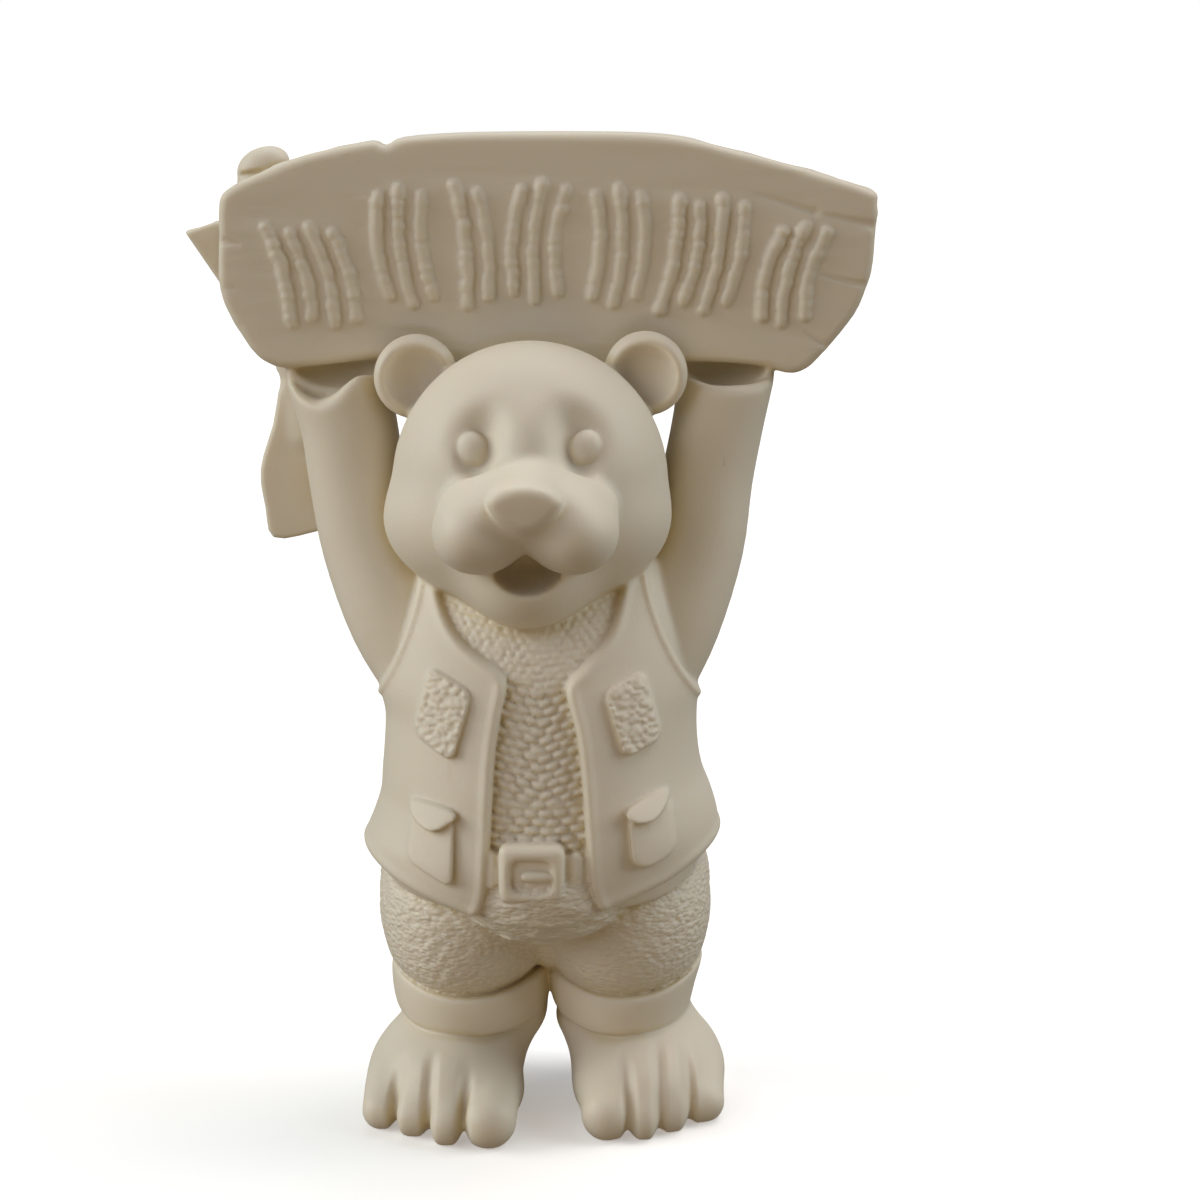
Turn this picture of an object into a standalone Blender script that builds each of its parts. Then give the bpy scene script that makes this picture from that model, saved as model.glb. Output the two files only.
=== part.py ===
"""Chubby standing bear in a fishing vest, holding a plank sign over its head.

The figure is one casting: body, clothes, plank and the fish behind the plank are
all one solid.  It faces -Y, stands on z = 0 and is modelled in millimetres that
the last step turns into metres.  Rounded forms are balls, swept limbs and
stacked oval rings; they are fused, cut and thinned by Blender's own modifiers.
"""
import math

import bmesh
import bpy
from mathutils import Matrix, Vector

# Driving dimensions, in millimetres.
MM = 0.001                     # metres in a millimetre
FUSE_VOXEL = 1.1               # grain at which touching forms are fused
TRIANGLES = 9400               # what the finished solid is thinned to
SIDES = (-1, 1)                # the bear's right (x < 0), then its left (x > 0)

LEG_AXIS_X = 2.0               # the legs stand a little off the plank's middle
TORSO_AXIS_X = 0.4
HEAD_AXIS_X = -2.0

SOLE_CUT = 30.0                # depth of the block that flattens the soles
TOE_SPREAD = (16.0, 25.0, 33.0, 39.8)      # toe tips, out from the leg axis
TOE_REACH = (-39.5, -39.2, -35.4, -29.4)   # how far forward each toe tip is
TOE_RADII = (7.2, 5.5, 5.2, 5.0)
KNUCKLE_SPREAD = (14.0, 21.0, 27.6, 33.4)
CUFF_SPREAD, CUFF_RADII, CUFF_SPAN = 20.6, (19.6, 22.5), (23.0, 35.0)

# The vest as oval rings: height, half width, half depth, centre depth.
VEST_RINGS = ((60.5, 40.8, 38.0, -6.0), (63.5, 43.9, 40.3, -6.2), (71.5, 46.2, 41.4, -6.5),
              (80.0, 44.1, 40.6, -6.5), (90.0, 41.4, 39.4, -6.2), (104.0, 39.6, 37.2, -5.6),
              (115.0, 39.8, 34.8, -4.6), (128.0, 34.0, 31.0, -3.4), (142.0, 26.0, 24.0, -1.0))
SHIRT_DEPTH = 3.6              # how far the shirt lies under the vest
# Front opening of the vest, bottom to top: height, left edge, right edge.
OPENING = ((57.0, -15.5, 18.0), (62.0, -13.4, 15.8), (78.0, -11.8, 12.4), (95.0, -10.6, 10.9),
           (110.0, -8.2, 9.2), (117.5, -7.0, 7.8), (122.0, -8.2, 9.0), (127.0, -13.6, 14.4),
           (136.0, -20.6, 19.4), (146.0, -25.5, 22.5), (160.0, -27.0, 24.0))
ARMHOLE_SPREAD, ARMHOLE_Z, ARMHOLE_RADII = 50.4, 142.0, (20.4, 46.0, 28.0)
BELT_SPAN, BELT_BUCKLE = (69.6, 77.2), (17.0, 14.4)

HEAD_TOP_Z, CHIN_Z = 200.7, 128.7
EAR_SPREAD, EAR_Z, EAR_RADIUS, EAR_RIM = 29.3, 191.0, 11.2, 3.2
EYE_SPREAD, EYE_Z, EYE_RADII = 13.4, 176.4, (4.4, 3.6, 5.0)
NOSE_TIP_Y = -62.0

PLANK_SPAN, PLANK_TOP, PLANK_FOOT = (-81.6, 86.0), 250.0, 190.5
PLANK_FRONT, PLANK_BACK, PLANK_EDGE = 8.0, 18.0, 2.4

# Arms: x out from the torso axis, y, z, radius, from armpit to wrist.
RIGHT_ARM = ((-27.0, 2.0, 112.0, 14.5), (-37.0, 4.0, 127.0, 14.0), (-43.6, 7.0, 145.0, 13.2),
             (-47.6, 9.0, 162.0, 12.4), (-49.4, 10.5, 176.0, 12.2), (-50.0, 11.0, 188.0, 12.4))
LEFT_ARM = ((27.0, 2.0, 112.0, 14.5), (35.5, 4.0, 127.0, 13.6), (41.0, 7.0, 145.0, 12.8),
            (43.8, 9.0, 162.0, 12.0), (45.6, 10.5, 176.0, 11.8), (47.4, 11.0, 188.0, 12.4))
FINGER_RADIUS, FINGER_STEP, FINGER_TOP_Z = 4.3, 6.4, 214.0


def clear_scene():
    """Empty the scene of whatever objects the file opened with."""
    for thing in list(bpy.data.objects):
        bpy.data.objects.remove(thing, do_unlink=True)


def add_object(name, mesh):
    """Put a mesh into the scene as an object."""
    thing = bpy.data.objects.new(name, mesh)
    bpy.context.collection.objects.link(thing)
    return thing


def mesh_from(form):
    """Turn a bmesh into a mesh whose faces point outwards."""
    bmesh.ops.recalc_face_normals(form, faces=form.faces)
    mesh = bpy.data.meshes.new("form")
    form.to_mesh(mesh)
    form.free()
    return mesh


def ball(centre, radii, turn=(0.0, 0.0, 0.0)):
    """An ellipsoid; turn holds its tilt about X, Y and Z in degrees."""
    form = bmesh.new()
    bmesh.ops.create_icosphere(form, subdivisions=4, radius=1.0)
    tilt = Matrix.Identity(4)
    for angle, axis in zip(turn, "XYZ"):
        tilt = Matrix.Rotation(math.radians(angle), 4, axis) @ tilt
    bmesh.ops.transform(form, matrix=tilt @ Matrix.Diagonal((*radii, 1.0)), verts=form.verts)
    bmesh.ops.translate(form, vec=centre, verts=form.verts)
    return mesh_from(form)


def limb(points):
    """A round limb through (x, y, z, radius) points, with domed ends."""
    spine = bpy.data.curves.new("spine", "CURVE")
    spine.dimensions = "3D"
    spine.bevel_depth = 1.0
    spine.bevel_resolution = 6
    spine.resolution_u = 8
    spine.use_fill_caps = True
    run = spine.splines.new("NURBS")
    run.points.add(len(points) - 1)
    for knot, (x, y, z, radius) in zip(run.points, points):
        knot.co = (x, y, z, 1.0)
        knot.radius = radius
    run.order_u = min(3, len(points))
    run.use_endpoint_u = True
    guide = add_object("guide", spine)
    swept = baked(guide)
    drop(guide)
    domes = [ball(point[:3], (point[3],) * 3) for point in (points[0], points[-1])]
    return joined([swept] + domes)


def rings(levels, sides=48, centre_x=0.0, inset=0.0):
    """A closed stack of oval rings; each level is height, half width, half depth, centre depth."""
    form = bmesh.new()
    loops = []
    for height, half_width, half_depth, centre_y in levels:
        loop = []
        for step in range(sides):
            angle = 2.0 * math.pi * step / sides
            loop.append(form.verts.new((centre_x + (half_width - inset) * math.cos(angle),
                                        centre_y + (half_depth - inset) * math.sin(angle),
                                        height)))
        loops.append(loop)
    for lower, upper in zip(loops, loops[1:]):
        for step in range(sides):
            after = (step + 1) % sides
            form.faces.new((lower[step], lower[after], upper[after], upper[step]))
    form.faces.new(loops[0])
    form.faces.new(loops[-1])
    return mesh_from(form)


def plate(outline, front, back, edge=0.0):
    """An (x, z) outline extruded along Y from front to back, its rims rounded by edge."""
    form = bmesh.new()
    face = form.faces.new([form.verts.new((x, front, z)) for x, z in outline])
    swept = bmesh.ops.extrude_face_region(form, geom=[face])
    moved = [part for part in swept["geom"] if isinstance(part, bmesh.types.BMVert)]
    bmesh.ops.translate(form, vec=(0.0, back - front, 0.0), verts=moved)
    if edge:
        rims = [rim for rim in form.edges if abs(rim.verts[0].co.y - rim.verts[1].co.y) < 1e-6]
        bmesh.ops.bevel(form, geom=rims, offset=edge, segments=3, profile=0.5, affect="EDGES")
    return mesh_from(form)


def slab(centre, size, turn=(0.0, 0.0, 0.0), edge=1.0):
    """A box with rounded edges, turned about its own middle."""
    form = bmesh.new()
    bmesh.ops.create_cube(form, size=1.0)
    bmesh.ops.scale(form, vec=size, verts=form.verts)
    bmesh.ops.bevel(form, geom=list(form.edges), offset=edge, segments=3, profile=0.5,
                    affect="EDGES")
    for angle, axis in zip(turn, "XYZ"):
        bmesh.ops.rotate(form, verts=form.verts, cent=(0.0, 0.0, 0.0),
                         matrix=Matrix.Rotation(math.radians(angle), 3, axis))
    bmesh.ops.translate(form, vec=centre, verts=form.verts)
    return mesh_from(form)


def joined(meshes):
    """Several closed forms as one mesh, still separate bodies."""
    form = bmesh.new()
    for mesh in meshes:
        form.from_mesh(mesh)
        bpy.data.meshes.remove(mesh)
    mesh = bpy.data.meshes.new("joined")
    form.to_mesh(mesh)
    form.free()
    return mesh


def baked(thing):
    """The mesh that an object's modifiers give."""
    graph = bpy.context.evaluated_depsgraph_get()
    return bpy.data.meshes.new_from_object(thing.evaluated_get(graph))


def drop(thing):
    """Remove a helper object."""
    bpy.data.objects.remove(thing, do_unlink=True)


def fused(meshes, voxel=FUSE_VOXEL, smooth=2):
    """Weld overlapping forms into one skin and soften the seams between them."""
    thing = add_object("blank", joined(meshes))
    weld = thing.modifiers.new("weld", "REMESH")
    weld.mode = "VOXEL"
    weld.voxel_size = voxel
    soften = thing.modifiers.new("soften", "SMOOTH")
    soften.factor = 0.5
    soften.iterations = smooth
    mesh = baked(thing)
    drop(thing)
    return mesh


def cut(mesh, cutter_meshes):
    """Take closed cutters out of a form."""
    thing = add_object("blank", mesh)
    tool = add_object("cutter", joined(cutter_meshes))
    tool.hide_render = True
    tool.display_type = "WIRE"
    difference = thing.modifiers.new("cut", "BOOLEAN")
    difference.operation = "DIFFERENCE"
    difference.solver = "EXACT"
    difference.object = tool
    result = baked(thing)
    drop(thing)
    drop(tool)
    return result


def vest_front(x, height):
    """Depth (y) of the vest's outer surface in front, at a place across and up it."""
    for low, high in zip(VEST_RINGS, VEST_RINGS[1:]):
        if height <= high[0]:
            break
    share = (height - low[0]) / (high[0] - low[0])
    half_width, half_depth, centre_y = (a + (b - a) * share for a, b in zip(low[1:], high[1:]))
    across = min(1.0, abs(x - TORSO_AXIS_X) / half_width)
    return centre_y - half_depth * math.sqrt(1.0 - across * across)


def on_vest(x, height, roll):
    """Tilts about X, Y and Z, in degrees, that lay a flat thing on the vest's front."""
    step = 2.0
    across = vest_front(x + step, height) - vest_front(x - step, height)
    upward = vest_front(x, height + step) - vest_front(x, height - step)
    lean = -math.degrees(math.atan2(upward, 2.0 * step))
    return lean, roll, math.degrees(math.atan2(across, 2.0 * step))


def foot(side):
    """One bare foot with four toes."""
    def out(spread):
        return LEG_AXIS_X + side * spread
    forms = [ball((out(19.6), 1.0, 16.0), (17.6, 18.0, 24.0)),
             ball((out(24.2), -14.0, 12.0), (17.6, 22.0, 14.5), (8.0, 0.0, 0.0))]
    toes = zip(TOE_SPREAD, TOE_REACH, TOE_RADII, KNUCKLE_SPREAD)
    for spread, reach, radius, knuckle in toes:
        forms.append(limb(((out(knuckle), -12.0, 16.0, radius),
                           (out(spread - 1.0), 0.5 * (reach - 16.0), 13.0, radius + 0.4),
                           (out(spread), reach, radius - 0.8, radius))))
    return forms


def trouser_leg(side):
    """One plump trouser leg with its turned-up cuff."""
    middle = LEG_AXIS_X + side * CUFF_SPREAD
    low, high = CUFF_SPAN
    wide, deep = CUFF_RADII
    cuff = rings(((low, wide - 2.0, deep - 2.0, -1.0), (low + 1.6, wide, deep, -1.0),
                  (high - 1.6, wide, deep, -1.0), (high, wide - 2.0, deep - 2.0, -1.0)),
                 centre_x=middle)
    thigh = ball((LEG_AXIS_X + side * 20.2, -2.0, 50.5), (23.4, 26.0, 22.5))
    return [cuff, thigh]


def seat_and_belly():
    """The seat of the trousers and the round belly over the fly."""
    return [ball((LEG_AXIS_X - 1.0, -3.0, 62.0), (40.5, 36.0, 24.0)),
            ball((LEG_AXIS_X + 0.6, -2.0, 44.0), (11.0, 20.0, 15.5)),
            ball((TORSO_AXIS_X + 1.0, -17.0, 69.0), (26.0, 28.5, 15.0))]


def opening_outline():
    """The vest's front opening as an outline, up its right edge and down its left."""
    rising = [(right, height) for height, left, right in OPENING]
    falling = [(left, height) for height, left, right in reversed(OPENING)]
    return rising + falling


def vest():
    """The vest's shell, open in front and at the armholes, over the shirt."""
    low, high = VEST_RINGS[0], VEST_RINGS[-1]
    top = (high[0] + 4.0, high[1] - 8.0, high[2] - 8.0, high[3])
    shell = rings(VEST_RINGS + (top,), centre_x=TORSO_AXIS_X)
    gaps = [ball((TORSO_AXIS_X + side * ARMHOLE_SPREAD, 0.0, ARMHOLE_Z), ARMHOLE_RADII)
            for side in SIDES]
    shell = cut(shell, gaps + [plate(opening_outline(), -70.0, -12.0)])
    shirt = rings(((low[0] - 4.0, *low[1:]),) + VEST_RINGS, centre_x=TORSO_AXIS_X,
                  inset=SHIRT_DEPTH)
    return [shell, shirt]


def belt():
    """The strip of belt between the vest's edges, its buckle frame and tongue."""
    low, high = BELT_SPAN
    middle = 0.5 * (low + high)
    front = vest_front(TORSO_AXIS_X, middle) + SHIRT_DEPTH
    wide, tall = BELT_BUCKLE
    frame = cut(slab((0.2, front - 1.5, middle), (wide, 5.0, tall), edge=1.6),
                [slab((0.2, front - 3.0, middle), (wide - 6.4, 9.0, tall - 6.4), edge=0.8)])
    strap = slab((1.0, front + 1.2, middle), (29.0, 5.6, high - low), edge=0.8)
    tongue = slab((0.8, front - 2.0, middle), (8.5, 3.0, 2.6), edge=0.8)
    return [strap, frame, tongue]


def pocket(side):
    """A chest patch, and a lower pocket under its jutting flap."""
    patch_x, patch_z = TORSO_AXIS_X + side * 23.4, 111.0
    bag_x, bag_z = TORSO_AXIS_X + side * 27.4, 78.0
    flap_z = bag_z + 9.6
    patch = slab((patch_x, vest_front(patch_x, patch_z), patch_z), (11.6, 4.6, 18.6),
                 on_vest(patch_x, patch_z, side * 14.0), 0.9)
    bag = slab((bag_x, vest_front(bag_x, bag_z), bag_z), (11.4, 4.0, 13.6),
               on_vest(bag_x, bag_z, side * 7.0), 0.9)
    flap = slab((bag_x, vest_front(bag_x, flap_z) - 1.0, flap_z), (12.4, 6.4, 4.4),
                on_vest(bag_x, flap_z, side * -14.0), 1.6)
    return [patch, bag, flap]


def arm_and_hand(bones):
    """One raised arm; its hollow palm carries the plank and its fingers grip the back."""
    wrist_x, wrist_y, wrist_z, wrist_radius = bones[-1]
    side = math.copysign(1.0, wrist_x)
    flesh = [limb(bones),
             ball((wrist_x, 1.5, wrist_z - 4.5), (wrist_radius - 0.6, 7.0, 6.0)),
             ball((wrist_x - side * 7.0, 3.0, wrist_z - 17.0), (7.5, 7.6, 11.0))]
    above_palm = slab((wrist_x, PLANK_FRONT - 20.0, wrist_z + 12.0), (40.0, 40.0, 20.0))
    hollow = ball((wrist_x + side * 1.5, 1.5, wrist_z + 2.0), (wrist_radius - 2.2, 11.0, 6.4))
    heel = cut(fused(flesh, smooth=6), [fused([above_palm, hollow])])
    fingers = []
    for step in range(4):
        x = wrist_x + (step - 1.5) * FINGER_STEP
        tip = FINGER_TOP_Z - 1.5 * abs(step - 1.5)
        fingers.append(limb(((x, 14.0, wrist_z - 4.0, FINGER_RADIUS),
                             (x, 20.5, wrist_z + 2.0, FINGER_RADIUS),
                             (x, 21.5, wrist_z + 12.0, FINGER_RADIUS),
                             (x, 19.5, tip - FINGER_RADIUS, FINGER_RADIUS - 0.4))))
    return [heel] + fingers


def ear(side):
    """One round ear with a thick rim round a shallow dish."""
    centre = Vector((HEAD_AXIS_X + side * EAR_SPREAD, 0.0, EAR_Z))
    turn = (0.0, 0.0, -side * 14.0)
    disc = ball(centre, (EAR_RADIUS, 6.2, EAR_RADIUS), turn)
    inner = EAR_RADIUS - EAR_RIM
    dish = ball(centre + Vector((0.0, -6.6, 0.0)), (inner + 0.6, 6.6, inner + 0.6), turn)
    return cut(disc, [dish])


def head():
    """The head: skull, cheeks, muzzle, nose and open mouth, then ears and eyes."""
    x = HEAD_AXIS_X
    skull_half = 0.5 * (HEAD_TOP_Z - 120.0)
    mass = [ball((x, -9.0, HEAD_TOP_Z - skull_half), (34.6, 33.0, skull_half)),
            ball((x, -11.0, CHIN_Z + 22.0), (37.0, 31.0, 22.0)),
            ball((x + 0.6, -30.0, CHIN_Z + 14.5), (19.0, 16.0, 12.0)),
            ball((x + 0.6, -41.0, 161.0), (14.0, 14.0, 11.0)),
            limb(((x, -33.0, 186.0, 8.0), (x, -38.0, 175.0, 8.0), (x + 0.6, -48.0, 167.0, 7.0)))]
    hollow = [ball((x + 0.8, -44.0, 149.4), (8.8, 12.0, 7.0))]
    for side in SIDES:
        hollow.append(ball((x + 0.4 + side * EYE_SPREAD, -44.0, EYE_Z + 1.4), (6.8, 11.5, 9.5),
                           (0.0, side * 14.0, side * 10.0)))
    face = [cut(fused(mass, smooth=9), hollow)]
    for side in SIDES:
        face.append(ball((x + 0.8 + side * 10.4, -42.0, 157.8), (12.4, 14.0, 9.8),
                         (0.0, side * 12.0, side * 14.0)))
        face.append(ball((x + 0.4 + side * EYE_SPREAD, -35.4, EYE_Z), EYE_RADII, (0.0, side * 14.0, 0.0)))
    face = [fused(face, smooth=2)]
    face.append(ball((x + 0.9, NOSE_TIP_Y + 6.5, 166.6), (9.0, 6.5, 4.6), (-24.0, 0.0, 0.0)))
    face.append(ball((x + 0.9, NOSE_TIP_Y + 8.0, 162.6), (5.0, 5.6, 4.4)))
    return face + [ear(side) for side in SIDES]


def plank_outline():
    """The plank's outline: a low arched top, a nearly straight foot and blunt ends."""
    left, right = PLANK_SPAN
    top = [(left + 0.8, 232.4), (left + 3.2, 235.6), (-72.5, 239.0), (-62.0, 243.2), (-53.0, 245.8),
           (-40.0, 248.2), (-25.0, 249.7), (-7.0, PLANK_TOP), (26.0, 249.6), (36.0, 248.5),
           (46.0, 246.4), (66.0, 241.2), (right - 1.8, 235.6)]
    right_end = [(right, 232.8), (right - 0.4, 226.0), (84.9, 215.0), (81.8, 206.2), (78.0, 200.4),
                 (72.0, 193.4), (67.0, PLANK_FOOT - 1.0)]
    foot_line = [(62.0, PLANK_FOOT - 1.2), (54.0, PLANK_FOOT + 1.0), (38.0, PLANK_FOOT + 1.6),
                 (26.0, PLANK_FOOT - 2.0), (-28.0, PLANK_FOOT - 2.0), (-38.0, PLANK_FOOT + 2.2),
                 (-52.0, PLANK_FOOT + 1.0), (-64.0, PLANK_FOOT)]
    left_end = [(-69.0, PLANK_FOOT + 1.2), (-73.0, 194.6), (-76.8, 200.2), (-80.0, 206.4), (left, 214.0),
                (left, 229.6)]
    return top + right_end + foot_line + left_end


def plank():
    """The sign's board, with the splits at its ends."""
    board = plate(plank_outline(), PLANK_FRONT, PLANK_BACK, PLANK_EDGE)
    splits = [slab((80.0, PLANK_FRONT, 228.4), (36.0, 1.8, 1.4), (0.0, 14.0, 0.0), 0.3),
              slab((82.0, PLANK_FRONT, 212.2), (18.0, 1.8, 1.2), (0.0, 12.0, 0.0), 0.3),
              slab((-82.0, PLANK_FRONT + 3.0, 223.6), (8.0, 9.0, 1.6), (0.0, 12.0, 0.0), 0.3)]
    return [cut(board, splits)]


def fish():
    """The fish slung behind the plank's end, snout up and tail down."""
    body = limb(((-71.5, 23.5, 238.0, 6.0), (-70.0, 25.0, 228.0, 9.0), (-68.0, 26.5, 214.0, 10.5),
                 (-65.0, 26.0, 200.0, 9.0), (-61.5, 24.5, 186.0, 6.0), (-61.0, 23.5, 172.0, 4.4)))
    snout = ball((-70.6, 23.0, 241.0), (6.6, 5.6, 4.6), (0.0, -20.0, 0.0))
    fin = plate(((-91.6, 223.6), (-76.0, 227.0), (-66.0, 222.0), (-70.0, 208.0), (-82.0, 210.0)),
                23.0, 26.4, 0.9)
    tail = plate(((-66.8, 185.0), (-70.0, 174.0), (-73.6, 162.0), (-72.6, 152.0), (-70.6, 143.8),
                  (-60.0, 145.2), (-50.0, 149.0), (-47.0, 160.0), (-50.0, 172.0), (-56.0, 185.0)),
                 21.0, 26.0, 1.4)
    return [body, snout, fin, tail]


def statue():
    """All the forms fused into one thin-skinned solid, stood on flat soles."""
    forms = seat_and_belly() + vest() + belt() + head() + plank() + fish()
    for side in SIDES:
        forms += foot(side) + trouser_leg(side) + pocket(side)
    for bones in (RIGHT_ARM, LEFT_ARM):
        forms += arm_and_hand(bones)
    thing = add_object("blank", fused(forms, smooth=1))
    thin = thing.modifiers.new("thin", "DECIMATE")
    skin = sum(len(face.vertices) - 2 for face in thing.data.polygons)
    thin.ratio = TRIANGLES / skin
    mesh = baked(thing)
    drop(thing)
    ground = slab((0.0, 0.0, -0.5 * SOLE_CUT), (240.0, 160.0, SOLE_CUT), edge=1.0)
    return cut(mesh, [ground])


def stand_on_origin(mesh):
    """Move the figure so its box's bottom centre is the origin, and turn it into metres."""
    low = Vector([min(vertex.co[axis] for vertex in mesh.vertices) for axis in range(3)])
    high = Vector([max(vertex.co[axis] for vertex in mesh.vertices) for axis in range(3)])
    middle = 0.5 * (low + high)
    mesh.transform(Matrix.Scale(MM, 4) @ Matrix.Translation((-middle.x, -middle.y, -low.z)))


def ivory_plastic():
    """Matt ivory plastic."""
    material = bpy.data.materials.new("ivory_plastic")
    material.use_nodes = True
    shader = material.node_tree.nodes["Principled BSDF"]
    shader.inputs["Base Color"].default_value = (0.62, 0.57, 0.46, 1.0)
    shader.inputs["Roughness"].default_value = 0.55
    shader.inputs["Metallic"].default_value = 0.0
    return material


clear_scene()
figure = statue()
stand_on_origin(figure)
figure.materials.clear()
figure.materials.append(ivory_plastic())
bear = add_object("bear_statue", figure)
bear.data.shade_smooth()
bear.data.set_sharp_from_angle(angle=math.radians(40.0))
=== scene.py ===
"""A bear in a fishing vest that holds a plank sign over its head, cast in ivory plastic.

The casting is sculpted as one clay: every form (ball, limb, barrel, plate) tells how far a
spot lies from its skin, forms melt into each other or are carved out, knit and wool are
raised on the skin, and a lattice of small cells turns the whole into one closed mesh.
Forms are in millimetres, x to the right, y to the back and z up, and the finished mesh is
turned into metres and set on the frame's own box.
"""
import functools
import itertools
import logging
import math
from abc import ABC, abstractmethod
from dataclasses import dataclass, field
from enum import Enum
from typing import Any, Callable

import bpy
import numpy as np
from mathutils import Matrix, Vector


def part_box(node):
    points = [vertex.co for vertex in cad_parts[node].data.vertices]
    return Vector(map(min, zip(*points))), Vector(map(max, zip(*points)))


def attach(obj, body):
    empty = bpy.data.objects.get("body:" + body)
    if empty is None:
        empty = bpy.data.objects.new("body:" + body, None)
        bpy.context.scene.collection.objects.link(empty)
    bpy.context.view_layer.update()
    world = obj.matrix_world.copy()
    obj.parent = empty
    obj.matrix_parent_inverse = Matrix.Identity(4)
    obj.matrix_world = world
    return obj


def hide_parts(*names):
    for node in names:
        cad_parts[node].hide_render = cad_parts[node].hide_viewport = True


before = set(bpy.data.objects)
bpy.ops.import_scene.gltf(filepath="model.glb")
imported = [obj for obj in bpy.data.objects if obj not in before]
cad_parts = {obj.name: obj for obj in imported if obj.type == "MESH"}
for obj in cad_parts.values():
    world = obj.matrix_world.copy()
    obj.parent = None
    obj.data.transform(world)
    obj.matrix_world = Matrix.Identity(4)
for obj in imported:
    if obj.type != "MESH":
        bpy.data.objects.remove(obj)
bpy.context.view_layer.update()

LOG = logging.getLogger("bear")

Vec = tuple[float, float, float]
Rows = tuple[tuple[float, ...], ...]
Array = np.ndarray
Spots = tuple[Array, Array, Array]          # x, y and z of many spots
Box = tuple[Array, Array]
Relief = Callable[[Spots], Array]
Gauge = Callable[[Spots, float], Array]

NODE = "bear_statue"
MM = 0.001          # metres in a millimetre
FAR = 400.0         # a distance that nothing here reaches, in millimetres
TINY = 1e-6         # a length that counts as none
TURN = 2.0 * math.pi
UNTURNED = (0.0, 0.0, 0.0)


class Side(Enum):
    """The bear's two sides: its right hand is at negative x."""

    RIGHT = -1
    LEFT = 1


# ---------------------------------------------------------------- sculptor's arithmetic


def melt(first: Array, second: Array, width: float) -> Array:
    """Smooth union of two distances.

    Args:
        first: Distances to one form.
        second: Distances to the other.
        width: Width of the fillet between them; 0 keeps a crease.

    Returns:
        Distances to both forms together.
    """
    if width <= 0.0:
        return np.minimum(first, second)
    share = np.clip(0.5 + 0.5 * (second - first) / width, 0.0, 1.0)
    return second + (first - second) * share - width * share * (1.0 - share)


def carve(form: Array, tool: Array, width: float) -> Array:
    """Distances to what is left of a form when a tool is cut out of it."""
    return -melt(-form, tool, width)


def overlap(first: Array, second: Array, width: float) -> Array:
    """Distances to what two forms have in common."""
    return -melt(-first, -second, width)


def rounded(first: Array, second: Array, edge: float) -> Array:
    """Distances to what two forms have in common, with a round edge inside their meeting line.

    Args:
        first: Distances to one form.
        second: Distances to the other.
        edge: Radius of the edge.

    Returns:
        Distances to the shared form.
    """
    first, second = first + edge, second + edge
    outside = np.sqrt(np.maximum(first, 0.0) ** 2 + np.maximum(second, 0.0) ** 2)
    return outside + np.minimum(np.maximum(first, second), 0.0) - edge


def eased(share: Array) -> Array:
    """Shares between 0 and 1 with a soft start and a soft end."""
    return share * share * (3.0 - 2.0 * share)


def ease(start: float, end: float, value: Array) -> Array:
    """A soft step from 0 at start to 1 at end, which may be above or below start."""
    return eased(np.clip((value - start) / (end - start), 0.0, 1.0))


def bell(offset: Array, half_width: float) -> Array:
    """A soft bump that is 1 at offset 0 and 0 past half_width on either side."""
    return ease(half_width, 0.0, np.abs(offset))


def flowing(rows: Rows, steps: int, closed: bool = False) -> Array:
    """A smooth curve through rows of numbers.

    Args:
        rows: The points that the curve passes through.
        steps: Points of the curve for each span.
        closed: Whether the curve returns to its first row.

    Returns:
        The curve's points, one a row.
    """
    knots = np.asarray(rows, float)
    if steps < 2:
        return knots
    if closed:
        knots = np.concatenate((knots[-1:], knots, knots[:2]))
    else:
        knots = np.concatenate((2.0 * knots[:1] - knots[1:2], knots, 2.0 * knots[-1:] - knots[-2:-1]))
    t = (np.arange(steps) / steps)[:, None]
    spans = []
    for a, b, c, d in zip(knots, knots[1:], knots[2:], knots[3:]):
        bend = 2.0 * a - 5.0 * b + 4.0 * c - d + t * (3.0 * (b - c) + d - a)
        spans.append(b + 0.5 * t * (c - a + t * bend))
    if not closed:
        spans.append(knots[-2:-1])
    return np.concatenate(spans)


@functools.lru_cache(maxsize=None)
def noise_table(seed: int, size: int = 32) -> Array:
    """A cube of random values between -1 and 1, the same for the same seed."""
    maker = np.random.default_rng(seed)
    return maker.uniform(-1.0, 1.0, (size, size, size)).astype(np.float32)


def noise(seed: int, spots: Spots, lengths: Vec = (1.0, 1.0, 1.0)) -> Array:
    """Smooth random waves.

    Args:
        seed: Which waves.
        spots: The spots.
        lengths: About how long a wave is across, in depth and up.

    Returns:
        Values between -1 and 1.
    """
    table = noise_table(seed)
    size = table.shape[0]
    scaled = [value / length for value, length in zip(spots, lengths)]
    corner = [np.floor(value).astype(np.int32) for value in scaled]
    part = [eased(value - whole) for value, whole in zip(scaled, corner)]
    total = np.zeros(np.shape(spots[0]), np.float32)
    for step in itertools.product((0, 1), repeat=3):
        weight = 1.0
        for share, ahead in zip(part, step):
            weight = weight * (share if ahead else 1.0 - share)
        spot = tuple((whole + ahead) % size for whole, ahead in zip(corner, step))
        total += weight * table[spot]
    return total


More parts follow.
